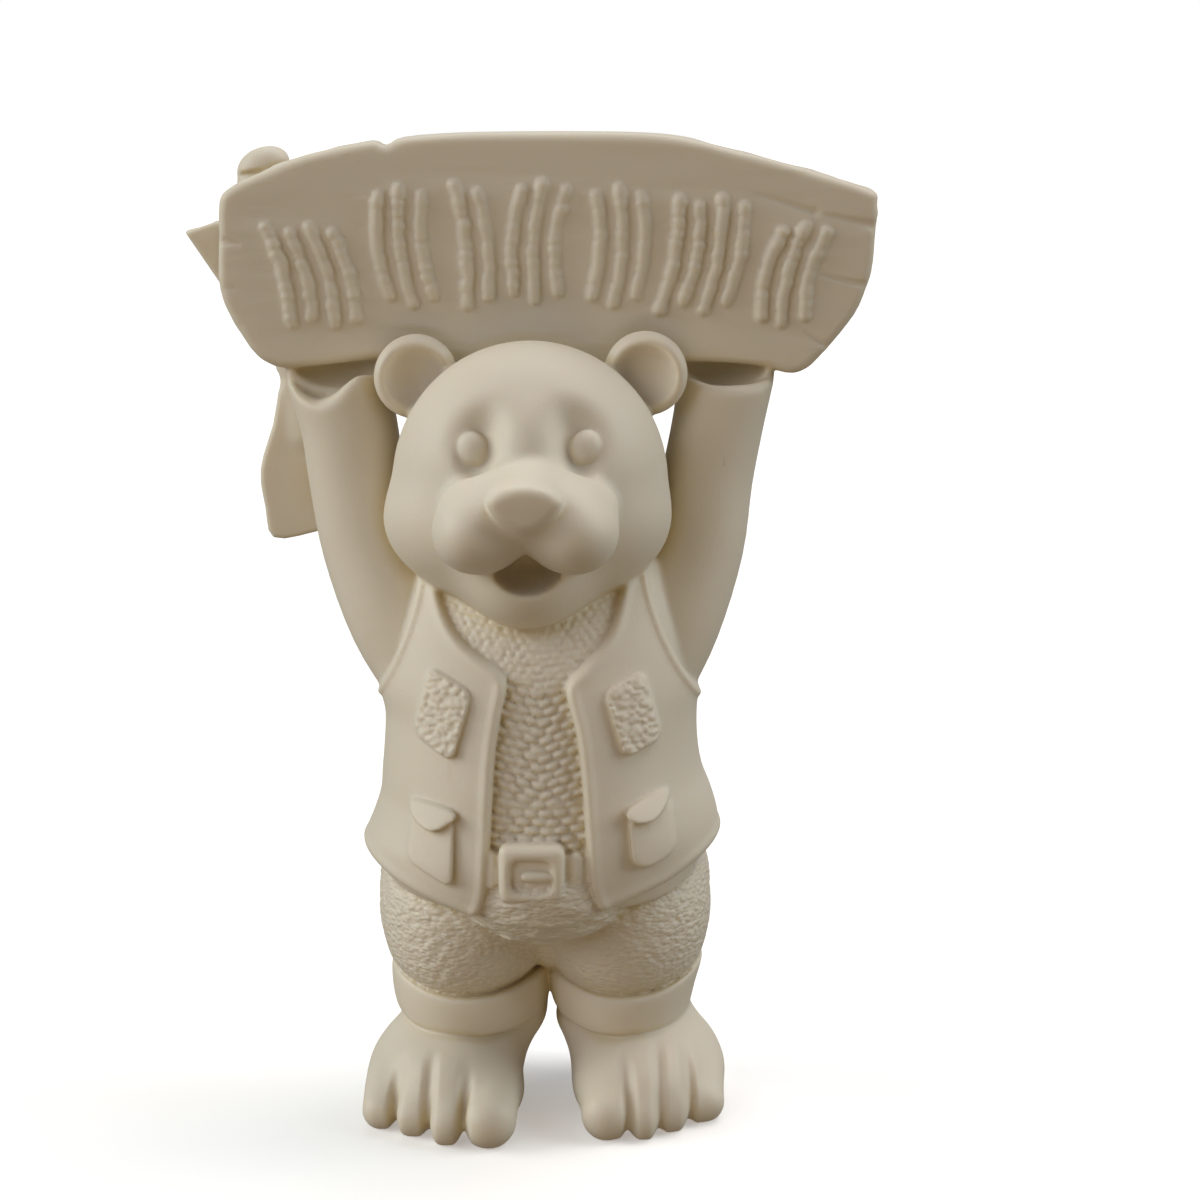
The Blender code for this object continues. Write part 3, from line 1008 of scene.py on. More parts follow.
    def belt(self, clay: Clay) -> None:
        """The belt between the vest's edges, with loops, buckle and prong.

        Args:
            clay: The shirt, on which they are laid.
        """
        for number, (*sides, thick, edge, fillet) in enumerate(self.straps):
            hole = self.bar(*self.buckle_hole) if number == self.buckle else None
            clay.add(Applied(self.under(), self.bar(*sides), thick, thick, edge, hole=hole), fillet)

    def scratches(self, spots: Spots) -> Array:
        """The height of fine level scratches on the trousers' front."""
        shown = ease(67.5, 65.0, spots[2]) * ease(-20.0, -30.0, spots[1])
        return 0.6 * noise(41, spots, (4.0, 4.0, 1.1)) * shown

    def belly(self, clay: Clay) -> Clay:
        """The trousers' round front below the belt."""
        ball = Ball((self.middle + 0.8, -19.0, 66.0), self.belly_ball)
        return clay.blank(1.5).add(ball, 0.0, self.scratches)

    def shape(self, clay: Clay) -> Clay:
        """Shirt, belly, vest, pockets and belt.

        Args:
            clay: Gives the spots.

        Returns:
            The torso on its own.
        """
        whole = clay.blank(2.0).add(self.under(), 0.0, self.knit)
        whole.join(self.belly(clay), 0.8)
        self.belt(whole)
        vest = self.vest(clay)
        self.pockets(vest)
        return whole.join(vest, 0.4)


@dataclass
class Head:
    """The head: round skull and jowls, broad muzzle, open mouth, small eyes and round ears."""

    middle: float = -2.0
    ears: Rows = ((-30.9, 189.4), (27.2, 190.2))        # middle x and z of each
    ear_radius: float = 10.7
    dish_radius: float = 8.3
    eyes: Rows = ((-15.2, 175.2), (12.0, 175.6))
    eye_depth: float = -32.2
    # Skull, jowls and chin: shift across, depth, height, three radii and fillet.
    masses: Rows = (
        (0.1, -8.0, 163.9, 34.6, 32.0, 35.3, 0.0), (-0.6, -11.0, 155.6, 36.1, 29.0, 22.6, 3.0),
        (-0.2, -27.0, 143.6, 14.0, 15.6, 12.8, 8.0))
    socket: Vec = (7.4, 14.4, 9.0)
    eye_rim: Vec = (5.3, 5.0, 5.9)
    eye: Vec = (4.15, 3.5, 4.7)
    bridge: Vec = (9.5, 10.8, 14.0)
    mouth: Vec = (9.2, 18.0, 7.8)
    snout: Vec = (21.0, 17.4, 9.6)
    lip: Vec = (11.9, 16.6, 11.0)
    lip_spread: float = 10.4
    # The nose pad's right half from its widest to its top, and its lower corner: spread and height.
    nose_top: Rows = ((8.7, 166.6), (7.6, 169.2), (4.2, 170.9))
    nose_low: tuple[float, float] = (5.8, 162.6)

    def skull(self, clay: Clay) -> Clay:
        """Skull, jowls and chin with the sockets and the mouth cut in.

        Args:
            clay: Gives the spots.

        Returns:
            The skull on its own.
        """
        x, mass = self.middle, clay.blank(10.0)
        for shift, depth, height, *radii, fillet in self.masses:
            mass.add(Ball((x + shift, depth, height), tuple(radii)), fillet)
        for side, (eye_x, eye_z) in zip(Side, self.eyes):
            mass.cut(Ball((eye_x - side.value * 0.6, -43.4, eye_z + 4.0), self.socket,
                          (0.0, side.value * 14.0, side.value * 16.0)), 7.0)
        mass.add(Ball((x, -27.4, 170.0), self.bridge), 7.0)
        mass.cut(Ball((x + 0.2, -45.0, 149.0), self.mouth), 1.4)
        return mass

    def muzzle(self, clay: Clay) -> Clay:
        """The broad muzzle, nearly level on top, with two full lips under the nose.

        Args:
            clay: Gives the spots.

        Returns:
            The muzzle on its own.
        """
        x = self.middle + 0.6
        own = clay.blank(7.0).add(Ball((x, -36.5, 162.6), self.snout, (-4.0, 0.0, 0.0)))
        own.add(Limb(((x, -28.0, 164.4, 8.6), (x, -43.0, 164.8, 8.6), (x, -52.0, 164.6, 7.2))), 6.0)
        lips = clay.blank(7.0)
        for side in Side:
            lips.add(Ball((x - 0.8 + side.value * self.lip_spread, -42.6, 158.4), self.lip,
                          (0.0, side.value * 20.0, side.value * 10.0)), 1.0)
        lips.add(Ball((x - 0.8, -44.5, 164.2), (7.0, 13.0, 5.2)), 2.0)
        return own.join(lips, 4.0)

    def nose(self) -> Form:
        """The nose pad: a broad rounded triangle with its point down.

        Returns:
            The pad.
        """
        x, (low, low_z) = self.middle - 0.1, self.nose_low
        right = [(x - spread, z) for spread, z in self.nose_top]
        left = [(x + spread, z) for spread, z in reversed(self.nose_top)]
        corners = (*right, (x, 171.5), *left, (x + low, low_z), (x, 159.8), (x - low, low_z))
        return Plate(Outline(corners, 3), -61.0, -46.0, 2.8, -0.15)

    def ear_pair(self, clay: Clay) -> Clay:
        """Round ears, each a soft rim about a deep dish.

        Args:
            clay: Gives the spots.

        Returns:
            The ears on their own.
        """
        whole = clay.blank(3.0)
        for side, (x, z) in zip(Side, self.ears):
            turn = (0.0, 0.0, -side.value * 14.0)
            radius, dish = self.ear_radius, self.dish_radius
            own = clay.blank(3.0).add(Ball((x, 0.0, z), (radius, 6.6, radius), turn))
            own.cut(Ball((x - side.value * 0.4, -6.6, z - 0.2), (dish, 8.0, dish), turn), 2.2)
            whole.join(own)
        return whole

    def shape(self, clay: Clay) -> Clay:
        """The whole head.

        Args:
            clay: Gives the spots.

        Returns:
            The head on its own.
        """
        head = self.skull(clay)
        head.join(self.muzzle(clay), 2.6)
        for side, (x, z) in zip(Side, self.eyes):
            turn = (0.0, side.value * 20.0, side.value * 14.0)
            head.cut(Ball((x, self.eye_depth - 4.4, z), self.eye_rim, turn), 1.8)
            head.add(Ball((x, self.eye_depth + 1.7, z), self.eye, turn), 0.6)
        head.add(self.nose(), 1.3)
        return head.join(self.ear_pair(clay), 1.6)


@dataclass
class Arms:
    """Raised bare arms; the hollow palms carry the plank and the fingers grip its back."""

    # Bones of the right and the left arm, shoulder to wrist: x, y, z and radius.
    bones: tuple[Rows, Rows] = (
        ((-26.0, -1.0, 112.0, 14.0), (-35.2, 1.0, 127.0, 14.0), (-43.0, 5.5, 145.0, 13.0),
         (-46.9, 8.5, 162.0, 12.4), (-49.0, 10.0, 176.0, 12.4), (-52.2, 11.0, 189.0, 12.8)),
        ((26.0, -1.0, 112.0, 13.8), (33.4, 1.0, 127.0, 13.6), (40.0, 5.5, 145.0, 12.7),
         (43.2, 8.5, 162.0, 11.8), (45.9, 10.0, 176.0, 11.7), (48.2, 11.0, 189.0, 12.2)))
    # The soft ridge in front of each palm; all above it is cut away.
    ridges: tuple[Rows, Rows] = (
        ((-74.0, 190.0), (-66.0, 188.6), (-62.5, 186.9), (-60.1, 184.4), (-56.3, 182.8), (-52.5, 184.0),
         (-48.6, 187.4), (-45.6, 189.6), (-41.0, 189.9), (-34.0, 190.2), (-34.0, 206.0), (-74.0, 206.0)),
        ((32.0, 190.0), (39.0, 188.6), (43.6, 187.0), (49.0, 186.8), (55.6, 187.2), (60.0, 188.6),
         (68.0, 190.2), (68.0, 206.0), (32.0, 206.0)))
    fingers: int = 4
    finger_radius: float = 4.1
    finger_step: float = 5.3
    finger_top: float = 214.0
    plank_front: float = 8.0
    plank_foot: float = 192.0

    def arm(self, clay: Clay, side: Side, bones: Rows, ridge: Rows) -> Clay:
        """One arm with its hand.

        Args:
            clay: Gives the spots.
            side: The arm's side.
            bones: The arm's bones.
            ridge: The ridge in front of the palm.

        Returns:
            The arm on its own.
        """
        wrist_x, _, _, wrist = bones[-1]
        front, foot, radius = self.plank_front, self.plank_foot, self.finger_radius
        own = clay.blank(7.0).add(Limb(bones))
        for finger in range(self.fingers):
            place = finger - 0.5 * (self.fingers - 1)
            x, tip = wrist_x + place * self.finger_step, self.finger_top - 1.5 * abs(place)
            own.add(Limb(((0.8 * x + 0.2 * wrist_x, 14.0, foot - 8.0, radius), (x, 20.5, foot - 2.0, radius),
                          (x, 21.5, foot + 8.0, radius), (x, 19.5, tip - radius, radius - 0.4))), 1.0)
        own.cut(Plate(Outline(ridge, 3), front - 30.0, front + 0.6, 0.0), 3.4)
        own.cut(Ball((wrist_x - side.value * 0.4, front + 1.6, foot - 0.6), (wrist - 1.8, 7.6, 6.0)), 2.4)
        own.cut(Slab((wrist_x, front - 19.0, foot + 10.0), (44.0, 40.0, 20.0)), 1.0)
        return own

    def shape(self, clay: Clay) -> Clay:
        """Both arms."""
        right, left = (self.arm(clay, *parts) for parts in zip(Side, self.bones, self.ridges))
        return right.join(left)


@dataclass
class Plank:
    """The sign: a weathered plank with split ends and seven groups of raised strokes."""

    front: float = 8.0
    back: float = 18.0
    edge: float = 2.4
    outline: Rows = (
        (-80.6, 232.6), (-77.6, 236.2), (-72.5, 238.8), (-62.2, 243.0), (-53.4, 245.5), (-42.0, 247.6),
        (-38.6, 246.6), (-34.0, 248.4), (-20.0, 249.7), (-7.0, 250.0), (10.0, 250.0), (26.0, 249.6),
        (36.0, 248.5), (46.0, 246.3), (66.0, 241.1), (83.6, 235.7), (85.9, 232.4), (85.4, 223.0),
        (84.6, 215.0), (81.6, 206.0), (77.8, 200.3), (71.4, 192.8), (67.2, 189.6), (63.0, 189.2),
        (55.0, 191.2), (38.0, 192.0), (26.0, 189.4), (-28.0, 189.4), (-38.0, 192.8), (-52.0, 191.5),
        (-64.0, 190.4), (-69.0, 191.6), (-73.0, 194.8), (-76.8, 200.4), (-80.0, 206.2), (-81.5, 213.0),
        (-81.2, 222.0))
    # Splits at the ends: x and z of each one's inner end, then its mouth, and its depth.
    splits: Rows = (
        (54.8, 234.8, 70.0, 230.0, 0.9), (70.0, 230.0, 90.0, 225.4, 1.3), (71.5, 214.4, 88.0, 210.4, 1.0),
        (68.0, 199.6, 76.0, 194.6, 1.1), (-76.0, 221.8, -84.0, 223.6, 1.8),
        (-75.5, 201.2, -84.0, 202.8, 0.9), (-77.5, 210.5, -84.0, 211.5, 0.5))
    # Stroke groups: how many, middle x and z, height, lean and bow of each.
    groups: Rows = (
        (4, -57.6, 214.0, 25.0, -14.0, 1.4), (3, -33.6, 221.6, 29.0, -6.0, -1.6),
        (2, -16.8, 221.8, 30.0, -5.0, 1.2), (3, 0.4, 222.8, 29.6, 5.0, -1.6),
        (3, 19.6, 221.6, 29.0, 3.0, 1.6), (4, 41.4, 219.4, 28.0, 10.0, 1.4),
        (3, 64.8, 214.4, 25.0, 14.0, -1.6))
    stroke_gap: float = 5.5
    stroke_radius: float = 1.9
    stroke_step: float = 0.75
    bead: float = 2.7

    def grain(self, spots: Spots) -> Array:
        """Long shallow waves of weathered grain, deeper at the back.

        Args:
            spots: Where to measure.

        Returns:
            The skin's height at each spot.
        """
        x, y, z = spots
        swayed = x, y, z + 3.0 * noise(51, spots, (40.0, 20.0, 20.0))
        rear = ease(12.0, 16.0, y)
        return ((0.16 + 0.22 * rear) * noise(52, swayed, (34.0, 6.0, 2.6))
                + (0.07 + 0.1 * rear) * noise(53, swayed, (18.0, 5.0, 1.1))
                + 0.25 * noise(54, spots, (22.0, 30.0, 14.0)))

    def stroke(self, x: float, z: float, height: float, lean: float, bow: float) -> Limb:
        """One raised beaded stroke.

        Args:
            x: Its middle across.
            z: Its middle up.
            height: Its length.
            lean: Its tilt from upright, in degrees.
            bow: How far its middle bends aside.

        Returns:
            The stroke as a limb half sunk in the board.
        """
        steps = int(height / self.stroke_step)
        share = np.linspace(-1.0, 1.0, steps)
        along = 0.5 * height * share
        worn = np.asarray(share * height, np.float32)
        still = worn * 0.0
        aside = bow * (1.0 - share ** 2) + 0.35 * noise(57, (worn / 4.0 + x, still, still + z))
        slant = math.radians(lean)
        across = x + along * math.sin(slant) + aside * math.cos(slant)
        upward = z + along * math.cos(slant) - aside * math.sin(slant)
        lumps = noise(58, (worn / 2.2 + x, still, still + z))
        radius = self.stroke_radius * (0.95 + 0.05 * np.cos(TURN * along / self.bead) + 0.16 * lumps)
        depth = np.full(steps, self.front + 0.3)
        return Limb(tuple(zip(across, depth, upward, radius)), 1)

    def shape(self, clay: Clay) -> Clay:
        """The board with its splits and strokes.

        Args:
            clay: Gives the spots.

        Returns:
            The board on its own.
        """
        plate = Plate(Outline(self.outline, 3), self.front, self.back, self.edge)
        board = clay.blank().add(plate, 0.0, self.grain)
        for x0, z0, x1, z1, depth in self.splits:
            for y in (self.front, self.back):
                board.cut(Limb(((x0, y, z0, 0.3), (x1, y, z1, depth)), 1), 0.8)
        for count, x, z, height, lean, bow in self.groups:
            for step in range(count):
                place = step - 0.5 * (count - 1)
                short = 1.0 - 0.14 * ((step + count) % 2)
                board.add(self.stroke(x + place * self.stroke_gap, z, height * short, lean, bow), 0.7)
        return board


@dataclass
class Fish:
    """The fish slung behind the plank's end, snout up and tail down."""

    spine: Rows = (
        (-71.5, 23.5, 238.0, 6.0), (-70.0, 25.0, 228.0, 9.0), (-68.0, 26.5, 214.0, 10.5),
        (-65.0, 26.0, 200.0, 9.0), (-61.5, 24.5, 186.0, 6.0), (-61.0, 23.5, 172.0, 4.4))
    fin: Rows = (
        (-91.7, 223.8), (-84.0, 226.4), (-76.0, 227.0), (-66.0, 222.0), (-70.0, 208.0), (-83.0, 210.6))
    tail: Rows = (
        (-66.8, 185.0), (-70.0, 174.0), (-73.6, 162.0), (-72.6, 152.0), (-70.6, 143.8), (-60.0, 145.2),
        (-50.0, 149.0), (-47.0, 160.0), (-50.0, 172.0), (-56.0, 185.0))
    lips: Rows = ((-77.4, 20.0, 238.4, 0.8), (-71.0, 17.0, 239.6, 0.8))
    gill: Rows = (
        (-62.0, 33.4, 227.0, 0.7), (-67.0, 36.6, 223.4, 0.8), (-73.0, 35.8, 222.6, 0.8),
        (-78.0, 30.6, 226.0, 0.7))
    scale_width: float = 4.4
    scale_row: float = 2.4

    def scales(self, spots: Spots) -> Array:
        """Staggered rows of scales, from behind the gill to the tail's root.

        Args:
            spots: Where to measure.

        Returns:
            The skin's height at each spot.
        """
        x, y, z = spots
        rows = np.cos(TURN * (x + 0.5 * y) / self.scale_width) * np.cos(0.5 * TURN * z / self.scale_row)
        return 0.45 * (eased(0.5 + 0.5 * rows) - 0.5) * ease(226.0, 220.0, z) * ease(184.0, 190.0, z)

    def tail_rays(self, spots: Spots) -> Array:
        """Fine rays that fan out over the tail's back.

        Args:
            spots: Where to measure.

        Returns:
            The skin's height at each spot.
        """
        x, y, z = spots
        bearing = np.arctan2(x + 61.0, 196.0 - z)
        return 0.35 * np.cos(bearing * 46.0) * ease(180.0, 168.0, z) * ease(23.0, 25.0, y)

    def fin_rays(self, spots: Spots) -> Array:
        """Fine rays that fan out over the fin's back.

        Args:
            spots: Where to measure.

        Returns:
            The skin's height at each spot.
        """
        x, y, z = spots
        bearing = np.arctan2(z - 219.0, -66.0 - x)
        return 0.3 * np.cos(bearing * 30.0) * ease(-74.0, -78.0, x) * ease(24.0, 26.0, y)

    def shape(self, clay: Clay) -> Clay:
        """Body, snout, fins, eye and gill.

        Args:
            clay: Gives the spots.

        Returns:
            The fish on its own.
        """
        own = clay.blank(3.0).add(Limb(self.spine, 5), 0.0, self.scales)
        own.add(Ball((-70.6, 23.0, 241.0), (6.6, 5.6, 4.6), (0.0, -20.0, 0.0)), 2.0)
        own.cut(Limb(self.lips, 1), 0.6)
        own.add(Plate(Outline(self.fin), 22.6, 26.6, 1.2), 2.0, self.fin_rays)
        own.add(Plate(Outline(self.tail, 3), 21.0, 26.0, 1.4), 3.0, self.tail_rays)
        own.add(Ball((-72.4, 33.0, 231.0), (1.9, 1.6, 1.9)), 0.4)
        return own.cut(Limb(self.gill), 0.8)


@dataclass
class Figure:
    """The whole casting."""

    feet: Feet = field(default_factory=Feet)
    trousers: Trousers = field(default_factory=Trousers)
    torso: Torso = field(default_factory=Torso)
    head: Head = field(default_factory=Head)
    arms: Arms = field(default_factory=Arms)
    plank: Plank = field(default_factory=Plank)
    fish: Fish = field(default_factory=Fish)
    low: Vec = (-96.0, -66.0, -2.0)
    high: Vec = (92.0, 42.0, 254.0)

    def fleece(self, points: Array) -> Array:
        """How woolly the skin is at each point.

        Args:
            points: Places on the skin, in millimetres.

        Returns:
            Values from 0, smooth, to 1, woolly.
        """
        order = np.argsort(points[:, 2])
        clay = Clay(columns(points[order]), 2.0)
        wool = self.trousers.legs(clay).join(self.torso.belly(clay))
        woolly = np.empty(len(points), np.float32)
        woolly[order] = ease(1.0, 0.4, wool.gap)
        return woolly

    def gauge(self, spots: Spots, margin: float) -> Array:
        """Distance from each spot to the figure's skin.

        Args:
            spots: The spots, in millimetres, z in rising order.
            margin: How far from the skin the distances have to be right.

        Returns:
            The distances, negative inside.
        """
        clay = Clay(spots, margin)
        clay.join(self.feet.shape(clay))
        for part, fillet in ((self.trousers, 0.8), (self.torso, 0.8), (self.arms, 1.2), (self.head, 1.0)):
            clay.join(part.shape(clay), fillet)
        clay.join(self.plank.shape(clay).join(self.fish.shape(clay), 0.6), 0.8)
        return np.maximum(clay.gap, -spots[2])


# ---------------------------------------------------------------- from clay to mesh


def columns(points: Array) -> Spots:
    """Rows of x, y and z as spots."""
    return tuple(np.ascontiguousarray(points[:, axis], np.float32) for axis in range(3))


@dataclass(frozen=True)
class Lattice:
    """Small cells through which the skin is drawn; only those near it are looked at."""

    grain: float
    halvings: int = 3
    slack: float = 1.3

    def nodes(self, gauge: Gauge, low: Array, counts: Array) -> tuple[Array, Array]:
        """The lattice's points near the skin.

        Args:
            gauge: Gives each spot's distance to the skin.
            low: The lattice's lowest corner.
            counts: Coarse cells along each axis.

        Returns:
            The points' whole-numbered places and their distances.
        """
        size = self.grain * 2 ** self.halvings
        up, across, deep = np.meshgrid(*(np.arange(counts[axis]) for axis in (2, 0, 1)), indexing="ij")
        cells = np.stack((across.ravel(), deep.ravel(), up.ravel()), 1)
        children = np.array(list(itertools.product((0, 1), repeat=3)))
        for _ in range(self.halvings):
            margin = size + self.slack
            cells = cells[np.abs(gauge(columns((cells + 0.5) * size + low), margin)) < margin]
            cells = (2 * cells[:, None, :] + children).reshape(-1, 3)
            cells = cells[np.argsort(cells[:, 2], kind="stable")]
            size *= 0.5
        return cells, gauge(columns((cells + 0.5) * size + low), self.grain * 2.5)

    def skin(self, gauge: Gauge, low: Vec, high: Vec) -> tuple[Array, Array]:
        """Draws the skin as a net of four-sided faces.

        Args:
            gauge: Gives each spot's distance to the skin.
            low: The lowest corner of the space to look in.
            high: The highest corner.

        Returns:
            The net's points, in millimetres, and its faces.
        """
        coarse = self.grain * 2 ** self.halvings
        counts = np.ceil((np.array(high) - np.array(low)) / coarse).astype(int)
        cells, gap = self.nodes(gauge, np.array(low), counts)
        size = tuple(counts * 2 ** self.halvings)
        values = np.full(size, np.nan, np.float32)
        values[tuple(cells.T)] = np.where(gap == 0.0, np.float32(1e-5), gap)
        places, rings = [], []
        for axis in range(3):
            near = values[tuple(slice(None, -1) if k == axis else slice(None) for k in range(3))]
            far = values[tuple(slice(1, None) if k == axis else slice(None) for k in range(3))]
            spots = np.argwhere(near * far < 0.0)
            first, second = near[tuple(spots.T)], far[tuple(spots.T)]
            point = spots.astype(float)
            point[:, axis] += first / (first - second)
            corners = []
            for step in ((-1, -1), (0, -1), (0, 0), (-1, 0)):
                cell = spots.copy()
                cell[:, (axis + 1) % 3] += step[0]
                cell[:, (axis + 2) % 3] += step[1]
                corners.append(np.ravel_multi_index(tuple(cell.T), size))
            ring = np.stack(corners, 1)
            ring[first > 0.0] = ring[first > 0.0][:, ::-1]
            places.append(point)
            rings.append(ring)
        places, rings = np.concatenate(places), np.concatenate(rings)
        _, faces = np.unique(rings.ravel(), return_inverse=True)
        shares = np.bincount(faces)
        points = np.stack([np.bincount(faces, np.repeat(places[:, k], 4)) / shares for k in range(3)], 1)
        return (points + 0.5) * self.grain + np.array(low), faces.reshape(-1, 4)


def mesh_of(name: str, points: Array, faces: Array) -> bpy.types.Mesh:
    """A mesh of four-sided faces.

    Args:
        name: The mesh's name.
        points: Places of its points.
        faces: Point numbers of its faces.

    Returns:
        The mesh.
    """
    mesh = bpy.data.meshes.new(name)
    mesh.vertices.add(len(points))
    mesh.vertices.foreach_set("co", points.astype(np.float32).ravel())
    mesh.loops.add(faces.size)
    mesh.loops.foreach_set("vertex_index", faces.astype(np.int32).ravel())
    mesh.polygons.add(len(faces))
    mesh.polygons.foreach_set("loop_start", np.arange(0, faces.size, 4, dtype=np.int32))
    mesh.update(calc_edges=True)
    mesh.validate()
    return mesh


def thinned(piece: bpy.types.Object, triangles: int) -> None:
    """Thins a piece's mesh down to a number of triangles, least where it is most detailed.

    Args:
        piece: The piece.
        triangles: Triangles to keep.
    """
    have = 2 * len(piece.data.polygons)
    if have <= triangles:
        return
    thin = piece.modifiers.new("thin", "DECIMATE")
    thin.ratio = triangles / have
    graph = bpy.context.evaluated_depsgraph_get()
    mesh = bpy.data.meshes.new_from_object(piece.evaluated_get(graph))
    piece.modifiers.clear()
    old, piece.data = piece.data, mesh
    bpy.data.meshes.remove(old)


@dataclass(frozen=True)
class Casting:
    """Turns the figure into its mesh, with the mask for the painted crease shade and the wool mask that its
    finish needs.
    """

    figure: Figure
    grain: float = 0.45
    quick_grain: float = 0.8
    triangles: int = 196000
    crevice_steps: tuple[float, ...] = (1.6, 4.0, 9.0)

    def crevices(self, points: Array, normals: Array) -> Array:
        """How shut in each point is; this sets how much shade is painted into the colour.

        Args:
            points: Places, in millimetres.
            normals: Directions out of the skin.

        Returns:
            Values from 0, open, to 1, deep in a crease.
        """
        shut = np.zeros(len(points), np.float32)
        for step in self.crevice_steps:
            away = points + normals * step
            rank = np.argsort(away[:, 2])
            gap = self.figure.gauge(columns(away[rank]), step + 0.5)
            shut[rank] += 1.0 - np.clip(gap / step, 0.0, 1.0)
        return shut / len(self.crevice_steps)

    def make(self) -> bpy.types.Object:
        """Sculpts the figure, sets it on the frame's box and hides the plain solid.

        Returns:
            The piece.
        """
        lattice = Lattice(self.grain)
        points, faces = lattice.skin(self.figure.gauge, self.figure.low, self.figure.high)
        LOG.info("net: %d points, %d faces", len(points), len(faces))
        piece = bpy.data.objects.new("bear_casting", mesh_of("bear_casting", points, faces))
        bpy.context.collection.objects.link(piece)
        thinned(piece, self.triangles)
        mesh = piece.data
        places = np.empty(len(mesh.vertices) * 3, np.float32)
        normals = np.empty_like(places)
        mesh.vertices.foreach_get("co", places)
        mesh.vertices.foreach_get("normal", normals)
        places, normals = places.reshape(-1, 3), normals.reshape(-1, 3)
        # The crease mask measures how shut in each point is and is used to paint shade into the colour;
        # fleece only places the wool bump.
        for name, values in (("crease_shade_mask", self.crevices(places, normals)),
                             ("fleece", self.figure.fleece(places))):
            mesh.attributes.new(name, "FLOAT", "POINT").data.foreach_set("value", values)
        low, high = places.min(0), places.max(0)
        middle = np.array((0.5 * (low[0] + high[0]), 0.5 * (low[1] + high[1]), low[2]))
        mesh.vertices.foreach_set("co", ((places - middle) * MM + from_foot()).astype(np.float32).ravel())
        mesh.polygons.foreach_set("use_smooth", np.ones(len(mesh.polygons), bool))
        mesh.update()
        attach(piece, "root")
        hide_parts(NODE)
        return piece


# ---------------------------------------------------------------- finish and studio


def from_foot(offset: Vec = (0.0, 0.0, 0.0)) -> Vec:
    """A place given from the middle of the bottom of the solid's box, in metres."""
    low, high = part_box(NODE)
    return 0.5 * (low.x + high.x) + offset[0], 0.5 * (low.y + high.y) + offset[1], low.z + offset[2]


def wired(tree: bpy.types.NodeTree, kind: str, result: str, inputs: dict[str | int, Any],
          **settings: Any) -> bpy.types.NodeSocket:
    """Adds a node with its settings and inputs.

    Args:
        tree: The nodes to add it to.
        kind: Its kind.
        result: Which of its outputs is wanted.
        inputs: A value or another node's output for each input.
        **settings: Its own settings.

    Returns:
        The output.
    """
    node = tree.nodes.new(kind)
    for name, value in settings.items():
        setattr(node, name, value)
    for name, value in inputs.items():
        if isinstance(value, bpy.types.NodeSocket):
            tree.links.new(value, node.inputs[name])
        else:
            node.inputs[name].default_value = value
    return node.outputs[result]


